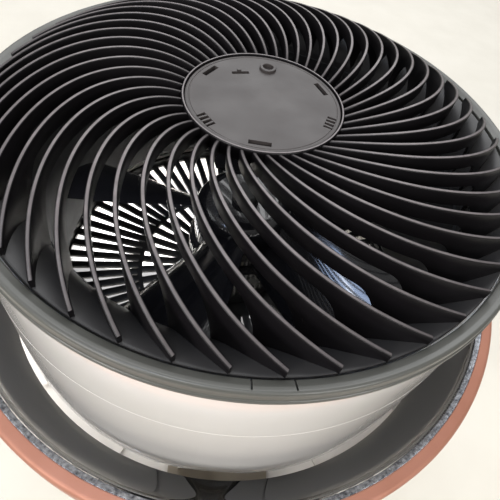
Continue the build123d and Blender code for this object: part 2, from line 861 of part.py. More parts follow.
def trunnion_bushes():
    """Plain bushes in the yoke's bosses that the tilt pins run in."""
    bushes = []
    for side in (-1, 1):
        x_low, x_high = sorted((side * (dish_lip_r + 0.5), side * arm_outer_r))
        flange_low, flange_high = sorted((side * (dish_lip_r + 0.5), side * (dish_lip_r + 1.5)))
        sleeve = rod_x(pin_r + bush_wall, x_low, x_high, pivot_z)
        sleeve += rod_x(pin_r + bush_wall + 2, flange_low, flange_high, pivot_z)
        bushes.append(sleeve - rod_x(pin_r + running_clearance, x_low - 1, x_high + 1, pivot_z))
    return bushes


def yoke_screw_points():
    """Four screws that hold the yoke's bar to the turntable gear."""
    return [polar(26.0, 45 + 90 * i) for i in range(4)]


def yoke_screws():
    """Screws from the yoke's bar down into the turntable gear."""
    return [screw(x, y, yoke_top_z, yoke_bar + 4, -1) for x, y in yoke_screw_points()]


def gear_outline(teeth, first_azimuth, arc_deg):
    """Plan of a spur gear with straight-flanked teeth over an arc of its rim."""
    pitch_r = gear_module * teeth / 2
    root_r = pitch_r - 1.15 * gear_module
    tip_r = pitch_r + 0.85 * gear_module
    step = 360.0 / teeth
    half_pitch = math.degrees((math.pi * gear_module / 2 - backlash) / 2 / pitch_r)
    root_half = half_pitch + math.degrees(0.26 * gear_module / root_r)
    tip_half = half_pitch - math.degrees(0.33 * gear_module / tip_r)
    tooth_face = make_face(Polyline(
        polar(root_r - 1.0, -root_half),
        polar(root_r, -root_half),
        polar(tip_r, -tip_half),
        polar(tip_r, tip_half),
        polar(root_r, root_half),
        polar(root_r - 1.0, root_half),
        close=True))
    toothed = [i for i in range(teeth) if abs((i * step + 180) % 360 - 180) <= arc_deg / 2]
    return root_r, [Rot(0, 0, first_azimuth + i * step) * tooth_face for i in toothed]


def gear_solid(teeth, first_azimuth, arc_deg, low, high):
    """Spur gear between two heights."""
    root_r, faces = gear_outline(teeth, first_azimuth, arc_deg)
    body = disc(root_r, low, high)
    return body.fuse(*[Pos(0, 0, low) * extrude(face, high - low) for face in faces])


def turntable_gear():
    """Toothed turntable under the yoke, turning on the base's spindle."""
    gear = gear_solid(gear_teeth, 90.0, gear_arc_deg, gear_low_z, gear_top_z)
    gear -= rod_z(spindle_r + running_clearance, gear_low_z - 1, gear_top_z + 1)
    for x, y in yoke_screw_points():
        gear -= screw_hole(x, y, gear_top_z - 4.5, gear_top_z + 1)
    return gear


def swing_pinion():
    """Drive pinion of the swing motor, with its shaft."""
    mesh_turn = -90.0 + 180.0 / pinion_teeth
    low, high = gear_low_z + 0.2, gear_top_z - 0.2
    gear = gear_solid(pinion_teeth, mesh_turn, 360.0, low, high)
    gear += rod_z(pinion_shaft_r, high, bracket_top_z + pinion_shaft_reach)
    return Pos(0, pinion_y, 0) * gear


# ---------------------------------------------------------------- base
def base_shell():
    """White drum of the base: slotted wall, top flange and inturned foot."""
    inner_r = shell_r - base_wall
    foot_inner_r = shell_foot_r - base_wall
    shell = turned([
        (bevel_inner_r, shell_top_z - base_wall),
        (bevel_inner_r, shell_top_z),
        (shell_r, shell_top_z),
        (shell_foot_r, base_clearance + 12),
        (shell_foot_r - 4.5, base_clearance),
        (floor_r - 8, base_clearance),
        (floor_r - 8, floor_low_z),
        (floor_r, floor_low_z),
        (foot_inner_r, base_clearance + 13),
        (inner_r, shell_top_z - base_wall),
    ])
    slot = block(floor_r - 2, shell_r + 2, -slot_width / 2, slot_width / 2, slot_low, slot_high)
    panel_angle = math.degrees(math.asin((panel_half_width + 9) / shell_r))
    step = 360.0 / slot_count
    azimuths = [-90 + (i + 0.5) * step for i in range(slot_count)]
    kept = [a for a in azimuths if abs((a + 90 + 180) % 360 - 180) > panel_angle]
    shell -= [Rot(0, 0, azimuth) * slot for azimuth in kept]
    shell -= block(-panel_half_width, panel_half_width, -shell_r - 5, -floor_r + 30,
                   panel_low, panel_high)
    for x, y in base_screw_points():
        shell -= screw_hole(x, y, base_clearance - 1, floor_low_z + 1)
    low = floor_top_z + rib_height
    return shell - block(-socket_width / 2, socket_width / 2, floor_r - 8, shell_r + 5,
                         low, low + socket_height)


def copper_rim():
    """Copper-coloured trim ring on the base's edge."""
    inner, outer = bevel_outer_r, copper_outer_r
    return turned([
        (inner, shell_top_z),
        (inner, rim_top_z),
        (outer - 1.8, rim_top_z),
        (outer - 0.5, rim_top_z - 0.5),
        (outer, rim_top_z - 1.8),
        (outer, shell_top_z - copper_skirt),
        (shell_r + 0.05, shell_top_z - copper_skirt),
        (shell_r + 0.05, shell_top_z),
    ])


def bevel_ring():
    """Polished bevelled ring between the dish and the copper rim."""
    return turned([
        (bevel_inner_r, shell_top_z),
        (bevel_inner_r, dish_rim_z + 0.2),
        (bevel_outer_r - 0.6, rim_top_z),
        (bevel_outer_r, rim_top_z),
        (bevel_outer_r, shell_top_z),
    ])


def base_screw_points():
    """Six screws that hold the floor plate to the shell's foot."""
    return [polar(floor_r - 4, 30 + 60 * i) for i in range(6)]


def base_floor():
    """Floor plate with the turntable's spindle and ribs."""
    floor = disc(floor_r - 0.2, floor_low_z, floor_top_z)
    floor += rod_z(spindle_r, floor_top_z, yoke_top_z + 1 + clip_height)
    rib = block(spindle_r + 34, floor_r - 18, -1.2, 1.2, floor_low_z + 1, floor_top_z + rib_height)
    floor += around(rib, rib_count)
    for x in (-28.0, 28.0):
        floor += rod_z(3.0, floor_low_z + 1, floor_top_z + rib_height, x, power_board_y)
    groove = tube(spindle_r - 1.5, spindle_r + 1, yoke_top_z + 0.5, yoke_top_z + 0.5 + clip_height)
    floor -= groove
    for x, y in base_screw_points():
        floor -= screw_hole(x, y, floor_low_z - 1, floor_top_z + 1)
    return floor


def base_screws():
    """Screws from the floor plate down into the shell's foot."""
    length = base_floor_thickness + base_wall - 0.6
    return [screw(x, y, floor_top_z, length, -1) for x, y in base_screw_points()]


def rubber_feet():
    """Round rubber feet under the floor plate."""
    foot = turned([
        (0, 0),
        (foot_r - 1, 0),
        (foot_r, 1.2),
        (foot_r, floor_low_z),
        (0, floor_low_z),
    ])
    return [Pos(*polar(foot_circle_r, 45 + 90 * i), 0) * foot for i in range(foot_count)]


def ballast_plate():
    """Steel ballast across the back of the floor, between the ribs."""
    low = floor_top_z + rib_height
    ring = tube(ballast_inner_r, ballast_outer_r, low, low + ballast_height)
    return ring & block(-head_r * 2, head_r * 2, 30, head_r * 2, 0, front_z)


def turntable_bearing():
    """Low-friction washer that the turntable rides on."""
    return tube(spindle_r + 8, gear_pitch_r - 8, floor_top_z, gear_low_z)


def spindle_clip():
    """Spring clip in the spindle's groove that keeps the turntable down."""
    low = yoke_top_z + 0.5
    clip = tube(spindle_r - 1.5, spindle_r + 4, low, low + clip_height)
    return clip - block(-2.5, 2.5, 0, spindle_r + 6, low - 1, low + clip_height + 1)


def swing_bracket():
    """Raised bracket that carries the swing motor over its pinion."""
    half = swing_motor_r + 8
    plate = block(-half, half, pinion_y - 9, pinion_y + 9, bracket_low_z, bracket_top_z)
    for side in (-1, 1):
        x_low, x_high = sorted((side * (half - 2), side * half))
        plate += block(x_low, x_high, pinion_y - 9, pinion_y + 9, floor_top_z, bracket_top_z)
    return plate - rod_z(4.0, bracket_low_z - 1, bracket_top_z + 1, 0, pinion_y)


def swing_motor():
    """Small geared motor that swings the yoke."""
    top = bracket_top_z + swing_motor_height
    body = rod_z(swing_motor_r, bracket_top_z, top, 0, pinion_y)
    body += block(-6, 6, pinion_y + swing_motor_r - 2, pinion_y + swing_motor_r + 4,
                  bracket_top_z + 2, top)
    return body - rod_z(pinion_shaft_r + running_clearance, bracket_top_z - 1,
                        bracket_top_z + pinion_shaft_reach + 0.5, 0, pinion_y)


# ---------------------------------------------------------------- controls
def panel_post_points():
    """Posts behind the panel that carry the board."""
    return [(x, z) for x in (-46.0, 46.0) for z in (panel_low + 8, panel_high - 8)]


def control_panel():
    """Glossy black recessed panel in the front of the base."""
    half = panel_half_width
    body = rod_z(shell_foot_r - 0.4, panel_low, panel_high)
    body = body & block(-half, half, -shell_r, panel_back_y, panel_low, panel_high)
    pocket = block(-half + 2, half - 2, -shell_r - 1, panel_face_y, panel_low + 3, panel_high - 3)
    body -= pocket
    for x, z in panel_post_points():
        body += rod_y(3.0, panel_back_y - 0.5, board_y, x, z)
    body -= rod_y(knob_shaft_r + 2.4, -shell_r, board_y, 0, panel_mid_z)
    for side in (-1, 1):
        body -= rod_y(button_r + button_clearance, -shell_r, board_y,
                      side * button_offset, panel_mid_z)
    for x in light_places():
        body -= rod_y(light_r, -shell_r, board_y, x, panel_high - 10)
    return body


def light_places():
    """Places of the four speed lights along the panel."""
    return [(i - 1.5) * light_pitch for i in range(4)]


def speed_lights():
    """Four small clear lenses over the speed lamps."""
    return [rod_y(light_r, panel_face_y - 0.4, panel_back_y + 2, x, panel_high - 10)
            for x in light_places()]


def speed_knob():
    """Fluted speed knob with its shaft."""
    face = panel_face_y - 0.8
    cap = rod_y(knob_r, face - knob_depth, face, 0, panel_mid_z)
    cap = chamfer(cap.edges().filter_by(GeomType.CIRCLE).sort_by(Axis.Y)[0], 1.2)
    for i in range(knob_flutes):
        fx, fz = polar(knob_r + 0.7, 360.0 * i / knob_flutes)
        cap -= rod_y(1.5, face - knob_depth - 1, face - 2, fx, panel_mid_z + fz)
    mark = block(-0.9, 0.9, face - knob_depth - 1, face - knob_depth + 0.6, 5, knob_r - 2.5)
    cap -= Pos(0, 0, panel_mid_z) * Rot(0, knob_rest_deg, 0) * mark
    return cap + rod_y(knob_shaft_r, face - 1, board_y - 2, 0, panel_mid_z)


def knob_encoder():
    """Rotary switch body on the board, behind the knob."""
    body = block(-7, 7, panel_back_y + 1, board_y, panel_mid_z - 7, panel_mid_z + 7)
    return body - rod_y(knob_shaft_r + running_clearance, panel_back_y, board_y - 1.5,
                        0, panel_mid_z)


def push_button(x):
    """Round push button with a keeper flange behind the panel."""
    cap = rod_y(button_r, panel_face_y - button_proud, panel_back_y + 0.3, x, panel_mid_z)
    flange_low = panel_back_y + 0.3
    cap += rod_y(button_r + 1.6, flange_low, flange_low + button_flange, x, panel_mid_z)
    stem_end = board_y - 1.6 - button_travel - 0.2
    return cap + rod_y(2.0, flange_low + button_flange - 0.5, stem_end, x, panel_mid_z)


def tact_switches():
    """Switches on the board under the two push buttons."""
    return [block(x - 3, x + 3, board_y - 1.6, board_y, panel_mid_z - 3, panel_mid_z + 3)
            for x in (-button_offset, button_offset)]


def control_board():
    """Circuit board on the panel's posts."""
    return block(-50, 50, board_y, board_y + board_thickness, panel_low + 3, panel_high - 3)


def power_inlet():
    """Socket for the lead, flush in the back of the base."""
    low = floor_top_z + rib_height
    half = socket_width / 2
    face = math.sqrt((shell_foot_r - 0.3) ** 2 - half ** 2)
    body = block(-half, half, face - socket_depth, face, low, low + socket_height)
    pocket = block(-half + socket_wall, half - socket_wall, face - socket_pocket, face + 1,
                   low + socket_wall, low + socket_height - socket_wall)
    return body - pocket


def power_board():
    """Supply board on the floor at the front, with its largest component."""
    low = floor_top_z + rib_height
    top = low + board_thickness
    y = power_board_y
    board = block(-35, 35, y - 21, y + 21, low, top)
    board += block(-28, -2, y - 13, y + 11, top, top + 8)
    for x in (8, 18, 28):
        board += rod_z(4.0, top, top + 9, x, y)
    return board


# ---------------------------------------------------------------- write the pieces
def pieces():
    """Every node of the model by name."""
    return {
        "trim_ring": trim_ring(),
        "front_grille": front_grille(),
        "hub_plate": hub_plate(),
        "head_shell_front": head_shell_front(),
        "head_shell_rear": head_shell_rear(),
        "grip_insert": grip_insert(),
        "air_duct": air_duct(),
        "rear_grille": rear_grille(),
        "head_screws": head_screws(),
        "trunnion_pins": trunnion_pins(),
        "motor_can": motor_can(),
        "motor_front_cap": motor_front_cap(),
        "motor_bearings": motor_bearings(),
        "motor_stator": motor_stator(),
        "motor_screws": motor_screws(),
        "motor_rotor": motor_rotor(),
        "motor_shaft": motor_shaft(),
        "impeller": impeller(),
        "impeller_nut": impeller_nut(),
        "dish_ring": dish_ring(),
        "yoke": yoke(),
        "trunnion_bushes": trunnion_bushes(),
        "yoke_screws": yoke_screws(),
        "turntable_gear": turntable_gear(),
        "swing_pinion": swing_pinion(),
        "base_shell": base_shell(),
        "copper_rim": copper_rim(),
        "bevel_ring": bevel_ring(),
        "base_floor": base_floor(),
        "base_screws": base_screws(),
        "rubber_feet": rubber_feet(),
        "ballast_plate": ballast_plate(),
        "turntable_bearing": turntable_bearing(),
        "spindle_clip": spindle_clip(),
        "swing_bracket": swing_bracket(),
        "swing_motor": swing_motor(),
        "control_panel": control_panel(),
        "speed_lights": speed_lights(),
        "speed_knob": speed_knob(),
        "knob_encoder": knob_encoder(),
        "power_button": push_button(-button_offset),
        "swing_button": push_button(button_offset),
        "tact_switches": tact_switches(),
        "control_board": control_board(),
        "power_inlet": power_inlet(),
        "power_board": power_board(),
    }


os.makedirs("parts", exist_ok=True)
for name, shape in pieces().items():
    if isinstance(shape, list):
        shape = Compound(children=shape)
    export_step(shape, f"parts/{name}.step")
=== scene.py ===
import math

import bmesh
import bpy
import numpy as np
from mathutils import Matrix, Vector


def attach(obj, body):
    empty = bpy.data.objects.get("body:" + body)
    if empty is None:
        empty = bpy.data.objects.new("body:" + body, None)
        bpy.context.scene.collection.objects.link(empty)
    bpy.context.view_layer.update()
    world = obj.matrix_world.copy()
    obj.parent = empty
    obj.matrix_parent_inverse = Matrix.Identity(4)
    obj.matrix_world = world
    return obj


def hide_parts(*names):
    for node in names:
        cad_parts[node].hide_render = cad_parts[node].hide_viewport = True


# Looks for the air circulator fan: the visible pieces over the frame's solids, their
# materials, the floor, the lights and the camera. Lengths are millimetres until
# mesh_object() scales them to metres. +Z is up, the front of the fan is -Y, and an
# azimuth counts in degrees from +X.

MM = 0.001
EDGE_ROUND = 0.3  # softening of the edges of the solids shown as they are

# ------------------------------ sizes of the head
FRONT_Z = 225.0  # plane of the round opening, which faces up
PIVOT_Z = 115.0  # tilt axis
HEAD_R = 150.0  # trim ring and upper housing
GIRTH_R = 150.6  # lower housing, a ball about the tilt axis
HEAD_WALL = 2.6
LEDGE_Z = 220.5  # ledge that ring and grille rest on
LEDGE_REACH = 8.8  # how far the ledge reaches in
SEAM_Z = 176.5  # parting line, the lower housing's top edge
SEAM_GAP = 0.14
TONGUE_SPAN = (145.3, 147.1)  # radii of the lower housing's tongue behind the seam
TONGUE = 4.0
BACK_Z = 73.0
TRIM_INNER_R = 143.9
LATCH_AZIMUTH = -88.6
LATCH_WIDTH = 16.0
LATCH_SLIT = 0.7

GRILLE_R = 142.9
FUNNEL_R = 142.0  # top of the funnel that the vanes end in
THROAT_R = 123.0
THROAT_Z = 206.0
COLLAR_Z = 202.0
FUNNEL_BOW = (-1.6, 3.2)  # middle of the funnel's face, off the line between its ends
GRILLE_WALL = 2.4
GRILLE_WALL_BOW = (0.6, 1.3)  # middle of the rim's back, off that same line
HUB_R = 44.2
HUB_INNER_R = 42.6
HUB_RISE = 15.0  # hub rim above the front plane
CUP_FLOOR = (9.0, 11.0)  # underside and top of the cup's floor, above the front plane

VANES = 45
VANE_ROOT_R = HUB_R - 0.8
VANE_TIP_R = 142.3
VANE_RISES = (13.8, 22.6, 4.6)  # top edge above the front plane at root, middle and tip
VANE_SWEEP = 50.43  # from root to tip
VANE_BOW = 0.249  # how late the sweep comes
VANE_FIRST = 6.88
VANE_HALF = 1.0
VANE_DEPTH = 8.5
VANE_FOOT = 9.0  # reach of the curve that widens a vane to its foot
VANE_SINK = 1.2  # how deep a foot goes into the funnel

PLATE_TOP_Z = 239.0
PLATE_THICK = 3.0
PLATE_R = 42.3
SLOT_R = 36.5
SLOT_AZIMUTHS = (-94, 26, 146)
SLOT_SIZE = (11.5, 3.0)
POCKET_R = 37.5
POCKET_AZIMUTHS = (-22, -142)
POCKET_SIZE = (10.0, 5.0)
POCKET_RIB_SIZE = (1.0, 4.9)
POCKET_RIB_STEP = 2.9
HOOK_R = 26.0
HOOK_AZIMUTH = 121.0
HOOK_TURN = -17.0
HOOK_SIZE = (10.0, 2.4)
NUB_R = 27.7
NUB_SIZE = (2.2, 1.6)
NUB_RISE = 1.3
BOSS_PLACE = (29.8, 85.4)  # radius and azimuth
BOSS_R = 4.8
BOSS_RISE = 1.6
BOSS_SINK = 1.2

GRIP_AZIMUTH = -93.0
GRIP_R = 34.0  # arch of the opening
GRIP_Z = 83.0  # centre of the arch
GRIP_BACK_R = 138.0
SCOOP_R = 36.0
SCOOP_DROP = 4.0  # centre of the scoop below the arch's centre
SCOOP_MOUTH_R = 24.8
SCOOP_FLOOR = 1.8

# ------------------------------ sizes of the air path
DUCT_R = 121.5
DUCT_OUTER_R = 123.9
DUCT_INLET_Z = 97.0
LEG_R = 134.1
LEG_BOSS_R = 3.6
LEG_HALF = 1.2
LEGS = 6
BACK_LEDGE_Z = 85.6
BACK_OPENING_R = 130.6
REAR_TOP_Z = 83.0
REAR_FLOOR_Z = 78.0
REAR_BARS_Z = 75.6
REAR_SEAT_Z = 75.0
REAR_WALL = 2.4
REAR_FLANGE_R = 137.6
REAR_WALL_R = 128.0
REAR_CENTRE_R = 40.0
REAR_BORE_R = 9.0
REAR_BAR = 5.3
BAR_OVERLAP = 0.5
OUTER_SLITS = 75
OUTER_SLIT_SPAN = (73.7, 126.0)
INNER_SLITS = 45
INNER_SLIT_SPAN = (45.0, 70.7)

BLADES = 5
BLADE_Z = 143.0
BLADE_TIP_R = 118.0
BLADE_FIRST = 27.0
BLADE_HALF = 1.2
BLADE_CHORDS = (50, 66, 74)  # at root, middle and tip
BLADE_PITCHES = (46, 33, 26)
BLADE_CAMBER = 0.07  # share of the chord
IMPELLER_R = 33.0
IMPELLER_WALL = 2.2
IMPELLER_BACK_Z = 127.0
IMPELLER_FRONT_Z = 159.0
SHAFT_R = 4.0
SLEEVE_R = 9.0

# ------------------------------ sizes of dish and base
DISH_LIP_R = 153.0
DISH_LIP_Z = 99.0
DISH_RIM_R = 170.3
DISH_RIM_Z = 133.8
DISH_BOW = 0.44  # 0 is a straight cone, 1 a quarter ellipse
DISH_WALL = 1.5
DISH_SKIRT = 2.6
DISH_SKIRT_Z = 111.8
PIN_HOLE_R = 10.3
BEVEL_INNER_R = 170.8
BEVEL_OUTER_R = 173.6
COPPER_R = 180.5
COPPER_DEPTH = 6.0  # how far the copper rim reaches down the drum
RIM_TOP_Z = 135.4
SHELL_TOP_Z = 128.0
SHELL_R = 179.5
SHELL_WALL = 3.0
SHELL_FOOT_R = 177.5
SHELL_FOOT_Z = 5.0
FLOOR_R = 162.9  # opening in the drum's foot
FLOOR_SEAT_R = 170.9
INTAKES = 60  # full count; those at the panel are left out
INTAKE_SPAN = (34.0, 112.0)
INTAKE_WIDTH = 8.0
INTAKE_MARGIN = 9.0  # free wall beside the panel
INTAKE_CUT = (166.0, 186.0)  # radii that a slot's cutter spans
PANEL_HALF = 56.0
PANEL_SPAN = (32.0, 94.0)
PANEL_CUT = (-190.0, -140.0)  # reach of its cutter along Y
SOCKET_HALF = 12.0
SOCKET_SPAN = (13.0, 27.0)
SOCKET_CUT = (160.0, 190.0)

# ------------------------------ camera, in metres
CAMERA_PLACE = (-0.024539, -0.199855, 0.379098)
CAMERA_RIGHT = (0.98779641, -0.01145463, 0.15532883)
CAMERA_DOWN = (0.09461809, -0.74803762, -0.6568768)
CAMERA_AHEAD = (0.12371609, 0.66355747, -0.73782506)
CAMERA_LENS = 32.04
CAMERA_SHIFT = (-0.0280, -0.0969)


# ------------------------------ mesh helpers
def smooth(obj, sharp_deg=32.0):
    """Smooth shading but for the edges over an angle."""
    mesh = obj.data
    mesh.polygons.foreach_set("use_smooth", [True] * len(mesh.polygons))
    mesh.set_sharp_from_angle(angle=math.radians(sharp_deg))


def mesh_object(name, verts, faces, sharp_deg=32.0):
    """New object from points in millimetres, smooth but for edges over sharp_deg."""
    mesh = bpy.data.meshes.new(name)
    mesh.from_pydata((np.asarray(verts, float) * MM).tolist(), [], faces)
    mesh.validate()
    bm = bmesh.new()
    bm.from_mesh(mesh)
    bmesh.ops.recalc_face_normals(bm, faces=bm.faces)
    bm.to_mesh(mesh)
    bm.free()
    obj = bpy.data.objects.new(name, mesh)
    bpy.context.scene.collection.objects.link(obj)
    smooth(obj, sharp_deg)
    return obj


def weld(obj):
    """Joins the points that lie on one another."""
    bm = bmesh.new()
    bm.from_mesh(obj.data)
    bmesh.ops.remove_doubles(bm, verts=bm.verts, dist=1e-6)
    bmesh.ops.dissolve_degenerate(bm, edges=bm.edges, dist=1e-7)
    bm.to_mesh(obj.data)
    bm.free()


def supported(profile, margin=0.35, turn_deg=5.0):
    """The same outline with a point close to each corner, which keeps its long faces flat."""
    points = np.array(profile, float)
    count = len(points)
    out = []
    for j in range(count):
        before = points[j] - points[j - 1]
        after = points[(j + 1) % count] - points[j]
        long_before, long_after = np.linalg.norm(before), np.linalg.norm(after)
        turn = before[0] * after[1] - before[1] * after[0]
        angle = abs(math.degrees(math.atan2(turn, float(before @ after))))
        corner = angle > turn_deg
        if corner and long_before > 4 * margin:
            out.append(points[j] - before * margin / long_before)
        out.append(points[j])
        if corner and long_after > 4 * margin:
            out.append(points[j] + after * margin / long_after)
    return out


def lathe(name, profile, steps=288, sharp_deg=32.0):
    """Closed outline of (radius, height) turned about Z."""
    ring = np.array(supported(profile), float)
    count = len(ring)
    angles = np.arange(steps) * 2 * math.pi / steps
    verts = np.empty((steps, count, 3))
    verts[:, :, 0] = np.cos(angles)[:, None] * ring[:, 0]
    verts[:, :, 1] = np.sin(angles)[:, None] * ring[:, 0]
    verts[:, :, 2] = ring[:, 1]
    faces = []
    for i in range(steps):
        a, b = i * count, (i + 1) % steps * count
        for j in range(count):
            k = (j + 1) % count
            faces.append((a + j, b + j, b + k, a + k))
    obj = mesh_object(name, verts.reshape(-1, 3), faces, sharp_deg)
    weld(obj)
    smooth(obj, sharp_deg)
    return obj


def arc(start, middle, end, count=12):
    """Points on the circle through three points, from start to end."""
    (ax, ay), (bx, by), (cx, cy) = start, middle, end
    d = 2 * (ax * (by - cy) + bx * (cy - ay) + cx * (ay - by))
    sa, sb, sc = ax * ax + ay * ay, bx * bx + by * by, cx * cx + cy * cy
    ux = (sa * (by - cy) + sb * (cy - ay) + sc * (ay - by)) / d
    uy = (sa * (cx - bx) + sb * (ax - cx) + sc * (bx - ax)) / d
    radius = math.hypot(ax - ux, ay - uy)
    first = math.atan2(ay - uy, ax - ux)
    mid = (math.atan2(by - uy, bx - ux) - first) % (2 * math.pi)
    last = (math.atan2(cy - uy, cx - ux) - first) % (2 * math.pi)
    if mid > last:
        last -= 2 * math.pi
    return [(ux + radius * math.cos(first + last * i / (count - 1)),
             uy + radius * math.sin(first + last * i / (count - 1))) for i in range(count)]


def polar(radius, azimuth):
    """Place in plan."""
    angle = math.radians(azimuth)
    return radius * math.cos(angle), radius * math.sin(angle)


def tube_mesh(sections):
    """Points and faces of a closed tube through rings of points, with end caps."""
    rings = np.array(sections, float)
    n, m = rings.shape[:2]
    faces = [(i * m + j, i * m + (j + 1) % m, (i + 1) * m + (j + 1) % m, (i + 1) * m + j)
             for i in range(n - 1) for j in range(m)]
    faces.append(tuple(range(m))[::-1])
    faces.append(tuple((n - 1) * m + j for j in range(m)))
    return rings.reshape(-1, 3), faces


def box_mesh(low, high):
    """Box between two opposite corners."""
    x0, y0, z0 = low
    x1, y1, z1 = high
    verts = [(x0, y0, z0), (x1, y0, z0), (x1, y1, z0), (x0, y1, z0),
             (x0, y0, z1), (x1, y0, z1), (x1, y1, z1), (x0, y1, z1)]
    faces = [(0, 3, 2, 1), (4, 5, 6, 7), (0, 1, 5, 4), (1, 2, 6, 5), (2, 3, 7, 6), (3, 0, 4, 7)]
    return np.array(verts, float), faces


def prism_mesh(outline, low, high):
    """Outline in the XY plane extruded between two heights."""
    n = len(outline)
    verts = [(x, y, low) for x, y in outline] + [(x, y, high) for x, y in outline]
    faces = [tuple(range(n))[::-1], tuple(range(n, 2 * n))]
    faces += [(i, (i + 1) % n, n + (i + 1) % n, n + i) for i in range(n)]
    return np.array(verts, float), faces


def round_mesh(radius, low, high, x=0.0, y=0.0, steps=48):
    """Round bar along Z."""
    outline = [(x + radius * math.cos(2 * math.pi * i / steps),
                y + radius * math.sin(2 * math.pi * i / steps)) for i in range(steps)]
    return prism_mesh(outline, low, high)


def outward(verts):
    """Points whose X, Y and Z become sideways, height and reach from the axis."""
    return np.stack([verts[:, 2], verts[:, 0], verts[:, 1]], axis=1)


def about_z(verts, azimuth):
    """Points turned about Z."""
    angle = math.radians(azimuth)
    turn = np.array([[math.cos(angle), -math.sin(angle), 0],
                     [math.sin(angle), math.cos(angle), 0], [0, 0, 1]])
    return np.asarray(verts) @ turn.T


def copies_about_z(verts, faces, count, first_deg=0.0):
    """The same mesh repeated evenly about Z."""
    all_verts, all_faces = [], []
    for i in range(count):
        base = i * len(verts)
        all_verts.append(about_z(verts, first_deg + 360.0 * i / count))
        all_faces += [tuple(base + v for v in face) for face in faces]
    return np.concatenate(all_verts), all_faces


def merged(parts):
    """One list of points and faces from several."""
    all_verts, all_faces, base = [], [], 0
    for verts, faces in parts:
        all_verts.append(np.asarray(verts, float))
        all_faces += [tuple(base + v for v in face) for face in faces]
        base += len(verts)
    return np.concatenate(all_verts), all_faces


def moved(part, matrix):
    """Points and faces of a part after a turn and a shift."""
    verts, faces = part
    out = np.asarray(verts, float) @ np.array(matrix.to_3x3()).T + np.array(matrix.translation)
    return out, faces


def bake(obj):
    """Applies the modifiers of obj."""
    graph = bpy.context.evaluated_depsgraph_get()
    mesh = bpy.data.meshes.new_from_object(obj.evaluated_get(graph))
    obj.modifiers.clear()
    obj.data = mesh


def cut(obj, verts, faces, sharp_deg=32.0):
    """Takes the given solid out of obj."""
    cutter = mesh_object("cutter", verts, faces)
    mod = obj.modifiers.new("cut", "BOOLEAN")
    mod.operation = "DIFFERENCE"
    mod.solver = "EXACT"
    mod.use_self = False
    mod.object = cutter
    bake(obj)
    bpy.data.objects.remove(cutter)
    smooth(obj, sharp_deg)


# ------------------------------ materials
class Shader:
    """Small helper that builds one material's node tree."""

    def __init__(self, name):
        self.material = bpy.data.materials.new(name)
        self.material.use_nodes = True
        self.tree = self.material.node_tree
        self.nodes = self.tree.nodes
        self.surface = self.nodes["Principled BSDF"]
        self.place = self.nodes.new("ShaderNodeTexCoord").outputs["Object"]

    def link(self, out, socket):
        self.tree.links.new(out, socket)

    def noise(self, scale, detail=4.0, stretch=None):
        """Noise over the piece, from 0 to 1."""
        node = self.nodes.new("ShaderNodeTexNoise")
        node.inputs["Scale"].default_value = scale
        node.inputs["Detail"].default_value = detail
        source = self.place
        if stretch:
            mapping = self.nodes.new("ShaderNodeMapping")
            mapping.inputs["Scale"].default_value = stretch
            self.link(self.place, mapping.inputs["Vector"])
            source = mapping.outputs["Vector"]
        self.link(source, node.inputs["Vector"])
        return node.outputs["Fac"]

    def span(self, value, low, high, from_low=0.3, from_high=0.7):
        """A value's own range stretched to low and high."""
        node = self.nodes.new("ShaderNodeMapRange")
        node.inputs["From Min"].default_value = from_low
        node.inputs["From Max"].default_value = from_high
        node.inputs["To Min"].default_value = low
        node.inputs["To Max"].default_value = high
        self.link(value, node.inputs["Value"])
        return node.outputs["Result"]

    def mottle(self, dark, light, scale=18.0, detail=4.0, stretch=None):
        """Cloudy mix of two colours."""
        node = self.nodes.new("ShaderNodeMix")
        node.data_type = "RGBA"
        node.inputs["A"].default_value = (*dark, 1)
        node.inputs["B"].default_value = (*light, 1)
        self.link(self.span(self.noise(scale, detail, stretch), 0.0, 1.0), node.inputs["Factor"])
        return node.outputs["Result"]

    def roughness(self, rough, wear, scale=60.0, stretch=None):
        """Uneven roughness about its mean."""
        noise = self.noise(scale, 6.0, stretch)
        self.link(self.span(noise, rough - wear, rough + wear), self.surface.inputs["Roughness"])

    def bump(self, value, strength, distance):
        node = self.nodes.new("ShaderNodeBump")
        node.inputs["Strength"].default_value = strength
        node.inputs["Distance"].default_value = distance
        self.link(value, node.inputs["Height"])
        self.link(node.outputs["Normal"], self.surface.inputs["Normal"])

    def colour(self, out):
        self.link(out, self.surface.inputs["Base Color"])

    def set(self, **values):
        for key, value in values.items():
            self.surface.inputs[key.replace("_", " ")].default_value = value


def plastic(name, dark, light, rough, grain=900.0, grain_depth=0.00006, coat=0.0,
            coat_rough=0.05, wear=0.06, specular=0.5, ior=1.5):
    """Moulded plastic: mottled colour, uneven roughness and a fine grain."""
    s = Shader(name)
    s.colour(s.mottle(dark, light))
    s.roughness(rough, wear)
    s.bump(s.noise(grain, 2.0), 0.25, grain_depth)
    s.set(Coat_Weight=coat, Coat_Roughness=coat_rough, Specular_IOR_Level=specular, IOR=ior)
    return s.material


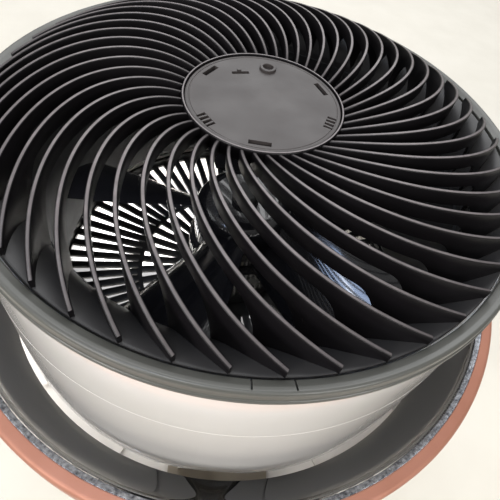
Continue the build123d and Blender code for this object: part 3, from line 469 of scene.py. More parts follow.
def dust_and_sheen_plastic(name, dark, light, dust_and_sheen, rough, specular=0.5):
    """Satin plastic whose upward faces are painted paler: partly dust and handling, partly a painted
    highlight of the light from above.
    """
    s = Shader(name)
    normal = s.nodes.new("ShaderNodeTexCoord").outputs["Normal"]
    split = s.nodes.new("ShaderNodeSeparateXYZ")
    s.link(normal, split.inputs[0])
    # upward faces painted paler: dust, with a painted highlight of the light from above
    facing_up = s.span(split.outputs["Z"], 0.0, 1.0, 0.88, 0.99)
    patchy = s.span(s.noise(260.0, 5.0), 0.72, 1.0)
    dust_and_sheen_cover = s.nodes.new("ShaderNodeMath")
    dust_and_sheen_cover.operation = "MULTIPLY"
    s.link(facing_up, dust_and_sheen_cover.inputs[0])
    s.link(patchy, dust_and_sheen_cover.inputs[1])
    mix = s.nodes.new("ShaderNodeMix")
    mix.data_type = "RGBA"
    s.link(dust_and_sheen_cover.outputs[0], mix.inputs["Factor"])
    s.link(s.mottle(dark, light), mix.inputs["A"])
    mix.inputs["B"].default_value = (*dust_and_sheen, 1)
    s.colour(mix.outputs["Result"])
    s.roughness(rough, 0.05)
    s.bump(s.noise(1400.0, 2.0), 0.25, 0.00004)
    s.set(Specular_IOR_Level=specular)
    return s.material


def metal(name, dark, light, rough, wear=0.06, grain=1500.0, grain_depth=0.00004, stretch=None,
          metallic=1.0):
    """Metal or plating: brushed or speckled, with uneven roughness."""
    s = Shader(name)
    s.colour(s.mottle(dark, light, 40.0, 5.0, stretch))
    s.roughness(rough, wear, 200.0, stretch)
    s.bump(s.noise(grain, 3.0, stretch), 0.3, grain_depth)
    s.set(Metallic=metallic)
    return s.material


def shell_materials():
    """White, copper, the grey plastics and the polished bevel."""
    return {
        "white": plastic("white_gloss", (0.80, 0.77, 0.73), (0.84, 0.81, 0.78), rough=0.12,
                         grain=60.0, grain_depth=0.00004, coat=0.6, coat_rough=0.03, wear=0.03),
        "ring": plastic("ring_grey", (0.060, 0.060, 0.053), (0.073, 0.073, 0.065), rough=0.38,
                        grain=1200.0, grain_depth=0.00004, coat=0.10, coat_rough=0.2),
        "hub": plastic("hub_grey", (0.040, 0.034, 0.033), (0.051, 0.044, 0.042), rough=0.50,
                       grain=700.0, grain_depth=0.00007),
        "button": plastic("button_grey", (0.22, 0.22, 0.22), (0.30, 0.30, 0.29), rough=0.3),
        "lens": plastic("lens_clear", (0.55, 0.58, 0.60), (0.68, 0.70, 0.72), rough=0.1,
                        grain=60.0, grain_depth=0.00002, coat=1.0),
        "copper": metal("copper_plate", (0.37, 0.160, 0.105), (0.42, 0.190, 0.130), rough=0.48,
                        wear=0.05, grain=3000.0, grain_depth=0.00003, metallic=0.35),
        "edge": metal("polished_edge", (0.07, 0.075, 0.09), (0.42, 0.44, 0.48), rough=0.25,
                      wear=0.1, grain=2600.0, grain_depth=0.0004, stretch=(12.0, 12.0, 12.0)),
    }


def black_materials():
    """The black plastics, from mirror gloss to rubber."""
    return {
        # the vanes' pale tops: dust, with a painted highlight of the light from above
        "vane": dust_and_sheen_plastic("vane_black", (0.004, 0.0036, 0.004), (0.007, 0.006, 0.007),
                       dust_and_sheen=(0.200, 0.178, 0.178), rough=0.38, specular=0.22),
        "funnel": plastic("funnel_black", (0.025, 0.0242, 0.0247), (0.035, 0.0338, 0.0342),
                          rough=0.42, grain=1400.0, grain_depth=0.00004, wear=0.05,
                          specular=0.4),
        "gloss": plastic("gloss_black", (0.010, 0.010, 0.010), (0.016, 0.016, 0.016), rough=0.03,
                         grain=80.0, grain_depth=0.000002, coat=1.0, coat_rough=0.01, wear=0.01,
                         ior=2.6),
        "piano": plastic("piano_black", (0.008, 0.008, 0.008), (0.013, 0.013, 0.013), rough=0.06,
                         grain=80.0, grain_depth=0.000004, coat=1.0, coat_rough=0.02,
                         wear=0.02),
        "duct": plastic("duct_black", (0.012, 0.012, 0.013), (0.022, 0.022, 0.023), rough=0.5),
        "frame": plastic("frame_black", (0.03, 0.03, 0.032), (0.05, 0.05, 0.052), rough=0.55,
                         grain=500.0, grain_depth=0.0001),
        "blade": plastic("blade_black", (0.008, 0.008, 0.010), (0.014, 0.014, 0.017), rough=0.14,
                         grain=200.0, grain_depth=0.00002, coat=0.8, coat_rough=0.04,
                         wear=0.03),
        "rubber": plastic("foot_rubber", (0.015, 0.015, 0.015), (0.03, 0.03, 0.03), rough=0.8,
                          grain=500.0, grain_depth=0.0002),
    }


def inner_materials():
    """What the motor, the gears and the boards are made of."""
    return {
        "steel": metal("plain_steel", (0.45, 0.45, 0.46), (0.58, 0.58, 0.59), rough=0.3),
        "motor": plastic("motor_paint", (0.015, 0.015, 0.017), (0.028, 0.028, 0.032), rough=0.25,
                         grain=400.0, grain_depth=0.00005, coat=0.4),
        "iron": metal("stator_iron", (0.20, 0.18, 0.17), (0.32, 0.29, 0.27), rough=0.5),
        "nylon": plastic("gear_nylon", (0.70, 0.68, 0.60), (0.80, 0.78, 0.71), rough=0.45),
        "board": plastic("board_tan", (0.33, 0.29, 0.23), (0.39, 0.345, 0.28), rough=0.45),
    }


# ------------------------------ front grille
def curve_height(points, radius):
    """Height at a radius on a list of (radius, height) points."""
    ordered = sorted(points)
    return np.interp(radius, [p[0] for p in ordered], [p[1] for p in ordered])


def halfway(start, end, shift):
    """Middle of two points, shifted."""
    return (start[0] + end[0]) / 2 + shift[0], (start[1] + end[1]) / 2 + shift[1]


def funnel_points(sink=0.0):
    """Inner face of the grille's rim, from its top to the throat, or a depth below it."""
    top = (FUNNEL_R + sink * 0.3, FRONT_Z - 0.2 - sink)
    low = (THROAT_R + sink, THROAT_Z)
    middle = halfway(top, low, (FUNNEL_BOW[0] + sink * 0.3, FUNNEL_BOW[1]))
    return arc(top, middle, low, 20)


def vane_plan(share):
    """Centre line of a vane in plan; share runs from root to tip."""
    radius = VANE_ROOT_R + (VANE_TIP_R - VANE_ROOT_R) * share
    angle = math.radians(VANE_SWEEP * (share - VANE_BOW * share * (1 - share)))
    return np.array([radius * math.cos(angle), radius * math.sin(angle)])


def vane_low(radius, top, wall_curve):
    """Lower edge of a vane: an even strip that widens in a curve to its foot on the funnel."""
    strip = top - VANE_DEPTH
    if radius >= THROAT_R:
        return min(strip, curve_height(wall_curve, radius))
    share = max(0.0, (radius - THROAT_R + VANE_FOOT) / VANE_FOOT)
    return strip - (strip - THROAT_Z) * (1 - math.sqrt(1 - share ** 2))


def vane_section(share, top_curve, wall_curve):
    """Closed outline of a vane square to its run: drafted sides, softly rounded top."""
    centre = vane_plan(share)
    run = vane_plan(share + 0.01) - vane_plan(share - 0.01)
    run /= np.linalg.norm(run)
    side = np.array([-run[1], run[0]])
    radius = np.linalg.norm(centre)
    top = curve_height(top_curve, radius)
    low = vane_low(radius, top, wall_curve)
    soft = min(0.45, (top - low) * 0.3)
    half = [(0.72, low), (0.86, low * 0.5 + top * 0.5), (1.0, top - soft),
            (0.85, top - soft * 0.35), (0.55, top - soft * 0.06)]
    outline = [(-offset, height) for offset, height in half] + [(0.0, top)] + half[::-1]
    points = []
    for offset, height in outline:
        x, y = centre + side * offset * VANE_HALF
        points.append((x, y, height))
    return points


def grille_vanes():
    """The swirled vanes."""
    radii = (VANE_ROOT_R, (VANE_ROOT_R + VANE_TIP_R) / 2, VANE_TIP_R)
    top_curve = arc(*((radius, FRONT_Z + rise) for radius, rise in zip(radii, VANE_RISES)), 60)
    wall_curve = funnel_points(VANE_SINK)
    shares = np.concatenate([np.linspace(0, 0.7, 36), np.linspace(0.71, 1, 45)])
    sections = [vane_section(share, top_curve, wall_curve) for share in shares]
    verts, faces = tube_mesh(sections)
    return mesh_object("grille_vanes", *copies_about_z(verts, faces, VANES, VANE_FIRST), 50.0)


def grille_rim():
    """Funnel-shaped rim that the vanes end in."""
    inner = funnel_points()
    foot, ledge = (THROAT_R + GRILLE_WALL, THROAT_Z), (GRILLE_R - 3.0, LEDGE_Z)
    profile = inner + [(THROAT_R, COLLAR_Z), (THROAT_R + GRILLE_WALL, COLLAR_Z)]
    profile += arc(foot, halfway(inner[0], inner[-1], GRILLE_WALL_BOW), ledge, 14)
    profile += [(GRILLE_R, LEDGE_Z), (GRILLE_R, FRONT_Z - 0.5), (GRILLE_R - 0.3, FRONT_Z - 0.2)]
    return lathe("grille_rim", profile, 360)


def grille_hub():
    """Cup in the middle of the grille, with its thin raised rim."""
    top = FRONT_Z + HUB_RISE
    foot = top - VANE_DEPTH
    floor_low, floor_top = (FRONT_Z + height for height in CUP_FLOOR)
    profile = [(0, floor_low), (HUB_INNER_R - 2, floor_low), (HUB_INNER_R - 2, foot),
               (HUB_R - 0.3, foot), (HUB_R, foot + 0.3), (HUB_R, top - 0.8),
               (HUB_R - 0.2, top - 0.3), (HUB_R - 0.6, top), (HUB_INNER_R + 0.3, top),
               (HUB_INNER_R, top - 0.3), (HUB_INNER_R, floor_top), (0, floor_top)]
    return lathe("grille_hub", profile, 256)


def line_cup(cup, material):
    """A second, plain material inside the hub's cup."""
    cup.data.materials.append(material)
    for face in cup.data.polygons:
        if face.center.xy.length < (HUB_INNER_R - 0.3) * MM:
            face.material_index = 1


# ------------------------------ hub plate
def plate_box(radius, azimuth, size, low, high, turn=0.0):
    """Box on the hub plate with its long side along the rim."""
    length, width = size
    part = box_mesh((-length / 2, -width / 2, low), (length / 2, width / 2, high))
    spin = Matrix.Rotation(math.radians(azimuth) + math.pi / 2 + math.radians(turn), 4, "Z")
    shift = Matrix.Translation((*polar(radius, azimuth), 0))
    return moved(part, shift @ spin)


def hub_plate():
    """Carrier plate with open slots, two snap pockets and the seat of its boss."""
    top = PLATE_TOP_Z
    through = top - PLATE_THICK - 0.2
    profile = [(0, top - PLATE_THICK), (PLATE_R, top - PLATE_THICK), (PLATE_R, top - 0.5),
               (PLATE_R - 0.2, top - 0.12), (PLATE_R - 0.6, top), (PLATE_R - 1.7, top),
               (PLATE_R - 1.9, top - 0.25), (PLATE_R - 2.3, top - 0.25), (PLATE_R - 2.5, top),
               (0, top)]
    plate = lathe("hub_plate", profile, 200)
    cutters = [plate_box(SLOT_R, azimuth, SLOT_SIZE, through, top + 1)
               for azimuth in SLOT_AZIMUTHS]
    cutters += [plate_box(POCKET_R, azimuth, POCKET_SIZE, through, top + 1)
                for azimuth in POCKET_AZIMUTHS]
    cutters.append(plate_box(HOOK_R, HOOK_AZIMUTH, HOOK_SIZE, through, top + 1, HOOK_TURN))
    cutters.append(round_mesh(BOSS_R + 0.1, top - BOSS_SINK, top + 1, *polar(*BOSS_PLACE)))
    for part in cutters:
        cut(plate, *part)
    return plate


def hub_boss():
    """Hollow boss standing in the plate."""
    low, top = PLATE_TOP_Z - BOSS_SINK, PLATE_TOP_Z + BOSS_RISE
    inner = BOSS_R - 1.8
    profile = [(inner, low), (BOSS_R, low), (BOSS_R, top - 0.3), (BOSS_R - 0.3, top),
               (inner + 0.3, top), (inner, top - 0.3)]
    boss = lathe("hub_boss", profile, 48)
    x, y = polar(*BOSS_PLACE)
    boss.data.transform(Matrix.Translation((x * MM, y * MM, 0)))
    return boss


def snap_ribs():
    """Small ribs in the two snap pockets, and the hook's nub beside its slot."""
    low, top = PLATE_TOP_Z - PLATE_THICK + 0.1, PLATE_TOP_Z - 0.1
    parts = [plate_box(NUB_R, HOOK_AZIMUTH, NUB_SIZE, PLATE_TOP_Z - 0.2,
                       PLATE_TOP_Z + NUB_RISE, HOOK_TURN)]
    for azimuth in POCKET_AZIMUTHS:
        for step in (-1, 0, 1):
            shift = math.degrees(step * POCKET_RIB_STEP / POCKET_R)
            parts.append(plate_box(POCKET_R, azimuth + shift, POCKET_RIB_SIZE, low, top))
    return mesh_object("snap_ribs", *merged(parts))


# ------------------------------ head housing
def trim_ring():
    """Satin grey ring round the opening, split by the latch tab's two slits."""
    inner, outer, top, low = TRIM_INNER_R, HEAD_R, FRONT_Z, LEDGE_Z
    profile = [(inner, low)]
    profile += arc((inner, top + 0.2), (inner + 0.15, top + 0.55), (inner + 0.5, top + 0.8), 5)
    profile += [(outer - 3.2, top + 2.2)]
    profile += arc((outer - 1.6, top + 2.85), (outer - 0.45, top + 2.55), (outer, top + 1.4), 9)
    profile += [(outer, low + 2.3)]
    profile += arc((outer + 0.15, low + 1.9), (outer + 0.55, low + 1.6), (outer + 0.7, low + 1.1), 5)
    profile += [(outer + 0.7, low + 0.2), (outer + 0.5, low)]
    ring = lathe("trim_ring", profile, 480, 40.0)
    slit = box_mesh((inner - 1, -LATCH_SLIT / 2, top - 1.5), (outer - 1.6, LATCH_SLIT / 2, top + 4))
    for side in (-1, 1):
        azimuth = LATCH_AZIMUTH + side * math.degrees(LATCH_WIDTH / 2 / HEAD_R)
        turn = Matrix.Rotation(math.radians(azimuth), 4, "Z")
        cut(ring, *moved(slit, turn), 40.0)
    return ring


def shell_front():
    """White upper housing, from the trim ring to the parting line."""
    low, ledge_r = SEAM_Z + SEAM_GAP, HEAD_R - LEDGE_REACH
    profile = [(HEAD_R - 0.7, LEDGE_Z - 0.35), (HEAD_R - 0.5, LEDGE_Z - 0.6),
               (HEAD_R - 0.05, low + 0.06), (HEAD_R - 0.11, low), (HEAD_R - 0.6, low),
               (HEAD_R - HEAD_WALL, low), (HEAD_R - 3.3, LEDGE_Z - HEAD_WALL),
               (ledge_r, LEDGE_Z - HEAD_WALL), (ledge_r, LEDGE_Z), (HEAD_R - 1.0, LEDGE_Z)]
    return lathe("shell_front", profile, 480)


def ball_reach(radius, z):
    """Distance from the axis of a ball about the tilt axis, at a height."""
    return math.sqrt(radius ** 2 - (PIVOT_Z - z) ** 2)


def shell_rear():
    """White lower housing, round about the tilt axis, with the arched opening."""
    outer, inner = GIRTH_R, GIRTH_R - HEAD_WALL
    bow = math.radians(8)
    profile = [(HEAD_R - 0.6, SEAM_Z), (HEAD_R - 0.05, SEAM_Z), (HEAD_R, SEAM_Z - 0.05)]
    profile += arc((outer, PIVOT_Z), (outer * math.cos(bow), PIVOT_Z - outer * math.sin(bow)),
                   (ball_reach(outer, BACK_Z + 0.5), BACK_Z + 0.5), 24)
    profile += [(ball_reach(outer, BACK_Z) - 0.5, BACK_Z), (ball_reach(inner, BACK_Z) + 0.4, BACK_Z),
                (ball_reach(inner, BACK_Z + 0.4), BACK_Z + 0.4),
                (ball_reach(inner, REAR_TOP_Z), REAR_TOP_Z),
                (BACK_OPENING_R, REAR_TOP_Z), (BACK_OPENING_R, BACK_LEDGE_Z)]
    profile += arc((ball_reach(inner, BACK_LEDGE_Z), BACK_LEDGE_Z),
                   (inner * math.cos(bow / 2), PIVOT_Z - inner * math.sin(bow / 2)),
                   (inner, PIVOT_Z), 16)
    tongue_inner, tongue_outer = TONGUE_SPAN
    profile += [(tongue_inner, SEAM_Z - TONGUE), (tongue_inner, SEAM_Z + TONGUE),
                (tongue_outer, SEAM_Z + TONGUE), (tongue_outer, SEAM_Z)]
    shell = lathe("shell_rear", profile, 480)
    cut(shell, *arch_mesh())
    return shell


def arch_mesh():
    """Cutter of the grip's arched opening, open to the back."""
    outline = [(GRIP_R * math.cos(a), GRIP_R * math.sin(a)) for a in np.linspace(0, math.pi, 49)]
    below = BACK_Z - GRIP_Z - 14
    outline += [(-GRIP_R, below), (GRIP_R, below)]
    verts, faces = prism_mesh(outline, GRIP_BACK_R - 1, GIRTH_R + 5.4)
    return about_z(outward(verts) + (0, 0, GRIP_Z), GRIP_AZIMUTH), faces


def grip_skin(u, z):
    """Reach of the insert's outer face, at a sideways place and a height."""
    drop = min(z - PIVOT_Z, 0.0)
    return math.sqrt(max((GIRTH_R - 0.8) ** 2 - drop ** 2 - u ** 2, 0.0))


def grip_rim():
    """Pale band round the scoop, lying on the insert's face."""
    radius, foot, centre = GRIP_R - 0.4, BACK_Z + 0.15, GRIP_Z - SCOOP_DROP
    outer = [(radius, z) for z in np.linspace(foot, GRIP_Z, 6)[:-1]]
    outer += [(radius * math.cos(a), GRIP_Z + radius * math.sin(a))
              for a in np.linspace(0, math.pi, 61)]
    outer += [(-radius, z) for z in np.linspace(GRIP_Z, foot, 6)[1:]]
    start = math.asin((foot - centre) / SCOOP_MOUTH_R)
    inner = [(SCOOP_MOUTH_R * math.cos(a), centre + SCOOP_MOUTH_R * math.sin(a))
             for a in np.linspace(start, math.pi - start, len(outer))]
    sections = []
    for (ou, oz), (iu, iz) in zip(outer, inner):
        line = [(ou + (iu - ou) * t, oz + (iz - oz) * t) for t in np.linspace(0, 1, 7)]
        sections.append([(grip_skin(u, z) + 0.3, u, z) for u, z in line] +
                        [(grip_skin(u, z) - 0.1, u, z) for u, z in line[::-1]])
    verts, faces = tube_mesh(sections)
    return mesh_object("grip_rim", about_z(verts, GRIP_AZIMUTH), faces, 40.0)


def grid_faces(columns, rows, base=0):
    """Four-sided faces of a grid of points."""
    corners = [base + j * columns + i for j in range(rows - 1) for i in range(columns - 1)]
    return [(a, a + 1, a + columns + 1, a + columns) for a in corners]


def grid_border(columns, rows):
    """Points round the edge of a grid, in order."""
    return ([j * columns for j in range(rows)] +
            [(rows - 1) * columns + i for i in range(1, columns)] +
            [j * columns + columns - 1 for j in range(rows - 2, -1, -1)] +
            [i for i in range(columns - 2, 0, -1)])


def scoop_face(u, z):
    """Reach of the scooped face, or of the skin beside it."""
    rest = SCOOP_R ** 2 - u ** 2 - (z - GRIP_Z + SCOOP_DROP) ** 2
    if rest <= 0:
        return grip_skin(u, z)
    return min(grip_skin(u, z), GRIP_BACK_R + SCOOP_FLOOR + SCOOP_R - math.sqrt(rest))


def grip_insert():
    """Glossy black cup with a scooped face, filling the arched opening."""
    radius = GRIP_R - 0.35
    columns, rows = 41, 41
    foot = BACK_Z - GRIP_Z + 0.1
    front = []
    for share in (j / (rows - 1) for j in range(rows)):
        height = foot + share * (radius - 0.02 - foot)
        half = radius if height < 0 else math.sqrt(max(radius ** 2 - height ** 2, 0.0))
        for i in range(columns):
            u = (i / (columns - 1) * 2 - 1) * half
            front.append((scoop_face(u, GRIP_Z + height), u, GRIP_Z + height))
    base = len(front)
    verts = front + [(GRIP_BACK_R, u, z) for _, u, z in front]
    faces = grid_faces(columns, rows)
    faces += [(a, d, c, b) for a, b, c, d in grid_faces(columns, rows, base)]
    border = grid_border(columns, rows)
    faces += [(a, b, base + b, base + a) for a, b in zip(border, border[1:] + border[:1])]
    return mesh_object("grip_insert", about_z(verts, GRIP_AZIMUTH), faces, 40.0)


# ------------------------------ air path
def air_duct():
    """Duct round the impeller with a rolled inlet edge."""
    low, outer = DUCT_INLET_Z, DUCT_OUTER_R
    profile = [(DUCT_R, COLLAR_Z), (DUCT_R, low + 0.9), (DUCT_R + 0.3, low + 0.3),
               (DUCT_R + 0.9, low)]
    profile += arc((outer + 2.4, low), (outer + 3, low + 1.2), (outer + 2.6, low + 2.4), 7)
    profile += arc((outer + 1.8, low + 2.9), (outer + 0.5, low + 4.0), (outer, low + 5.4), 6)
    profile += [(outer, COLLAR_Z)]
    return lathe("air_duct", profile, 256)


def duct_legs():
    """Screwed legs that the duct stands on, each with its triangular rib."""
    low, inner, outer = DUCT_INLET_Z, DUCT_R + 1.2, LEG_R - 0.2
    boss = round_mesh(LEG_BOSS_R, BACK_LEDGE_Z, low + 4, LEG_R, 0, 32)
    foot = box_mesh((DUCT_R + 1, -LEG_HALF, low + 0.6), (LEG_R, LEG_HALF, low + 4))
    rib = [(inner, low + 3), (outer, low + 3), (outer, low + 6.3), (DUCT_R + 2, low + 16),
           (inner, low + 16)]
    verts, faces = prism_mesh(rib, -LEG_HALF, LEG_HALF)
    leg = merged([boss, foot, (verts[:, [0, 2, 1]], faces)])
    return mesh_object("duct_legs", *copies_about_z(*leg, LEGS))


def rear_bar(azimuth, inner, outer):
    """One bar of even width between two wedge-shaped slits, with softened edges."""
    half = REAR_BAR / 2
    top, low = REAR_FLOOR_Z, REAR_BARS_Z
    outline = [(-half + 0.5, top), (-half + 0.1, top - 0.2), (-half, top - 0.7), (-half + 0.1, low),
               (half - 0.1, low), (half, top - 0.7), (half - 0.1, top - 0.2), (half - 0.5, top)]
    sections = [[(r, y, z) for y, z in outline] for r in (inner, outer)]
    return moved(tube_mesh(sections), Matrix.Rotation(math.radians(azimuth), 4, "Z"))


def rear_bars(count, span):
    """A band of bars, half a step on from +X."""
    inner, outer = span[0] - BAR_OVERLAP, span[1] + BAR_OVERLAP
    return [rear_bar((i + 0.5) * 360 / count, inner, outer) for i in range(count)]


def rear_grille():
    """Tray-shaped back grille: flange and wall, middle rib, seat and two bands of bars."""
    top, low, flange_low = REAR_FLOOR_Z, REAR_BARS_Z, REAR_TOP_Z - REAR_WALL
    (seat_r, rib_inner), (rib_outer, outer) = INNER_SLIT_SPAN, OUTER_SLIT_SPAN
    tray = [(REAR_FLANGE_R, REAR_TOP_Z), (REAR_WALL_R + 0.3, REAR_TOP_Z),
            (REAR_WALL_R, REAR_TOP_Z - 0.3), (REAR_WALL_R - 0.7, top + 0.6),
            (REAR_WALL_R - 1.2, top), (outer, top), (outer, low), (REAR_WALL_R + 1.2, low),
            (REAR_WALL_R + 2.0, flange_low), (REAR_FLANGE_R, flange_low)]
    rib = [(rib_inner, low), (rib_inner, top), (rib_inner + 0.4, top + 0.2),
           (rib_outer - 0.4, top + 0.2), (rib_outer, top), (rib_outer, low)]
    seat = [(REAR_BORE_R, top), (seat_r, top), (seat_r, low), (REAR_CENTRE_R + 0.6, low),
            (REAR_CENTRE_R, REAR_SEAT_Z), (REAR_BORE_R, REAR_SEAT_Z)]
    bars = rear_bars(OUTER_SLITS, OUTER_SLIT_SPAN) + rear_bars(INNER_SLITS, INNER_SLIT_SPAN)
    return [lathe("rear_grille", tray, 288), lathe("rear_rib", rib, 288),
            lathe("rear_seat", seat, 128), mesh_object("rear_bars", *merged(bars))]


def blade_section(radius):
    """Closed outline of a blade at a radius, wrapped round the hub's axis."""
    share = (radius - IMPELLER_R) / (BLADE_TIP_R - IMPELLER_R)
    chord = float(np.interp(share, [0, 0.5, 1], BLADE_CHORDS))
    pitch = math.radians(float(np.interp(share, [0, 0.5, 1], BLADE_PITCHES)))
    stations = np.linspace(-1, 1, 17)
    points = []
    for side in (1, -1):
        for s in stations if side > 0 else stations[::-1][1:-1]:
            thick = BLADE_HALF * math.sqrt(max(0.0, 1 - s ** 4)) * side
            along = s * chord / 2
            across = chord * BLADE_CAMBER * (1 - s * s) + thick
            y = along * math.cos(pitch) - across * math.sin(pitch)
            z = along * math.sin(pitch) + across * math.cos(pitch)
            limit = radius * 0.999  # a section can't wrap past the side of its cylinder
            y = max(-limit, min(limit, y))
            points.append((math.sqrt(radius ** 2 - y ** 2), y, BLADE_Z + z))
    return points


def impeller_blades():
    """The pitched blades."""
    radii = np.linspace(IMPELLER_R - 1.5, BLADE_TIP_R, 18)
    verts, faces = tube_mesh([blade_section(radius) for radius in radii])
    return mesh_object("impeller_blades", *copies_about_z(verts, faces, BLADES, BLADE_FIRST), 40.0)


def impeller_hub():
    """Domed hub with its sleeve for the shaft."""
    front, back, outer = IMPELLER_FRONT_Z, IMPELLER_BACK_Z, IMPELLER_R
    inner = outer - IMPELLER_WALL
    profile = [(SHAFT_R, front - 2), (SHAFT_R, front), (outer - 11, front)]
    profile += arc((outer - 8, front - 0.8), (outer - 2.5, front - 4.5), (outer, front - 12), 12)
    profile += [(outer, back), (inner, back), (inner, front - 13), (outer - 12, front - 3),
                (SLEEVE_R, front - 3), (SLEEVE_R, back + 6), (SHAFT_R, back + 6)]
    return lathe("impeller_hub", profile, 128)


# ------------------------------ dish and rims
def bowl(share, depth=0.0):
    """Point on the dish's face, share 0 at its inner lip and 1 at its rim, or below it."""
    angle = share * math.pi / 2
    out, rise = math.sin(angle), 1 - math.cos(angle)
    low = np.array([DISH_LIP_R + 0.15, DISH_LIP_Z + 0.9])
    reach = np.array([DISH_RIM_R - 0.9, DISH_RIM_Z - 1.2]) - low
    run = reach * (1 - rise, 1 - rise + (out + rise - 1) * DISH_BOW)
    normal = np.array([run[1], -run[0]]) / np.linalg.norm(run)
    return tuple(low + reach * (out, out + (rise - out) * DISH_BOW) + depth * normal)


def dish_ring():
    """Glossy black dish round the head: a bowl that steepens towards its rim."""
    rim_r, rim_z = DISH_RIM_R, DISH_RIM_Z
    profile = [(DISH_LIP_R + 0.3, DISH_LIP_Z), (DISH_LIP_R, DISH_LIP_Z + 0.3),
               (DISH_LIP_R, DISH_LIP_Z + 0.7)]
    profile += [bowl(share) for share in np.linspace(0, 1, 61)]
    profile += [(rim_r - 0.5, rim_z - 0.5), (rim_r - 0.15, rim_z - 0.2), (rim_r, rim_z - 0.6),
                (rim_r, DISH_SKIRT_Z), (rim_r - DISH_SKIRT, DISH_SKIRT_Z)]
    profile += [bowl(share, DISH_WALL) for share in np.linspace(0.36, 0.03, 21)]
    ring = lathe("dish_ring", profile, 480)
    hole, faces = round_mesh(PIN_HOLE_R, DISH_LIP_R - 3, DISH_RIM_R + 1.7, steps=64)
    for side in (-1, 1):
        cut(ring, outward(hole) * (side, 1, 1) + (0, 0, PIVOT_Z), faces)
    return ring


def copper_rim():
    """Copper-coloured trim ring on the base's edge."""
    inner, outer, top, low = BEVEL_OUTER_R, COPPER_R, RIM_TOP_Z, SHELL_TOP_Z - COPPER_DEPTH
    profile = [(inner, SHELL_TOP_Z), (inner, top - 0.3), (inner + 0.3, top)]
    profile += arc((outer - 2.6, top), (outer - 0.75, top - 0.75), (outer, top - 2.6), 10)
    profile += [(outer, low + 0.6), (outer - 0.2, low + 0.1), (outer - 0.5, low),
                (SHELL_R + 0.05, low), (SHELL_R + 0.05, SHELL_TOP_Z)]
    return lathe("copper_rim", profile, 480)


def bevel_ring():
    """Polished bevelled ring between dish and copper rim."""
    inner, outer = BEVEL_INNER_R, BEVEL_OUTER_R
    profile = [(inner, SHELL_TOP_Z), (inner, DISH_RIM_Z - 0.1), (inner + 0.2, DISH_RIM_Z + 0.2),
               (outer - 0.7, RIM_TOP_Z - 0.1), (outer - 0.3, RIM_TOP_Z), (outer, RIM_TOP_Z - 0.2),
               (outer, SHELL_TOP_Z)]
    return lathe("bevel_ring", profile, 480)


# ------------------------------ base
def intake_mesh(azimuth):
    """Round-ended slot cutter through the base's wall."""
    low, high = INTAKE_SPAN
    half = INTAKE_WIDTH / 2
    outline = [(half * math.cos(a), high - half + half * math.sin(a))
               for a in np.linspace(0, math.pi, 13)]
    outline += [(half * math.cos(a), low + half + half * math.sin(a))
                for a in np.linspace(math.pi, 2 * math.pi, 13)]
    verts, faces = prism_mesh(outline, *INTAKE_CUT)
    return moved((outward(verts), faces), Matrix.Rotation(math.radians(azimuth), 4, "Z"))


def base_shell():
    """White drum with intake slots, panel opening and socket opening."""
    top, foot, foot_r = SHELL_TOP_Z, SHELL_FOOT_Z, SHELL_FOOT_R
    profile = [(BEVEL_INNER_R, top - SHELL_WALL), (BEVEL_INNER_R, top), (SHELL_R, top)]
    profile += arc((foot_r, foot + 12), (foot_r - 1.4, foot + 3.8), (foot_r - 5.5, foot), 12)
    profile += [(FLOOR_R, foot), (FLOOR_R, foot + SHELL_WALL), (FLOOR_SEAT_R, foot + SHELL_WALL),
                (foot_r - SHELL_WALL, foot + 13), (SHELL_R - SHELL_WALL, top - SHELL_WALL)]
    shell = lathe("base_shell", profile, 480)
    clear = math.degrees(math.asin((PANEL_HALF + INTAKE_MARGIN) / SHELL_R))
    turns = [(i + 0.5) * 360 / INTAKES for i in range(INTAKES)]
    intakes = [intake_mesh(turn - 90) for turn in turns if clear < turn < 360 - clear]
    cut(shell, *merged(intakes))
    for half, (low, high), (front, back) in ((PANEL_HALF, PANEL_SPAN, PANEL_CUT),
                                             (SOCKET_HALF, SOCKET_SPAN, SOCKET_CUT)):
        cut(shell, *box_mesh((-half, front, low), (half, back, high)))
    return shell


# ------------------------------ assembly
def finish_piece(obj, material, slot, body, *nodes):
    """Gives a new piece its material and body and hides the nodes it stands for; slot is not used.
    """
    obj.data.materials.clear()
    obj.data.materials.append(material)
    if nodes:
        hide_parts(*nodes)
    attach(obj, body)
    return obj


def build(look):
    """The pieces that stand for nodes of the frame."""
    finish_piece(grille_vanes(), look["vane"], "grille_black", "head", "front_grille")
    finish_piece(grille_rim(), look["funnel"], "grille_black", "head")
    line_cup(finish_piece(grille_hub(), look["vane"], "grille_black", "head"), look["duct"])
    finish_piece(hub_plate(), look["hub"], "hub_grey", "head", "hub_plate")
    finish_piece(hub_boss(), look["hub"], "hub_grey", "head")
    finish_piece(snap_ribs(), look["hub"], "hub_grey", "head")
    finish_piece(trim_ring(), look["ring"], "ring_grey", "head", "trim_ring")
    finish_piece(shell_front(), look["white"], "body_white", "head", "head_shell_front")
    finish_piece(shell_rear(), look["white"], "body_white", "head", "head_shell_rear")
    finish_piece(grip_insert(), look["gloss"], "gloss_black", "head", "grip_insert")
    finish_piece(grip_rim(), look["white"], "body_white", "head")
    finish_piece(air_duct(), look["duct"], "duct_black", "head", "air_duct")
    finish_piece(duct_legs(), look["duct"], "duct_black", "head")
    tray, *rest = rear_grille()
    finish_piece(tray, look["duct"], "duct_black", "head", "rear_grille")
    for piece in rest:
        finish_piece(piece, look["duct"], "duct_black", "head")
    finish_piece(impeller_blades(), look["blade"], "impeller_black", "impeller", "impeller")
    finish_piece(impeller_hub(), look["blade"], "impeller_black", "impeller")
    finish_piece(dish_ring(), look["gloss"], "gloss_black", "cradle", "dish_ring")
    finish_piece(copper_rim(), look["copper"], "copper_plate", "base", "copper_rim")
    finish_piece(bevel_ring(), look["edge"], "polished_edge", "base", "bevel_ring")
    finish_piece(base_shell(), look["white"], "body_white", "base", "base_shell")


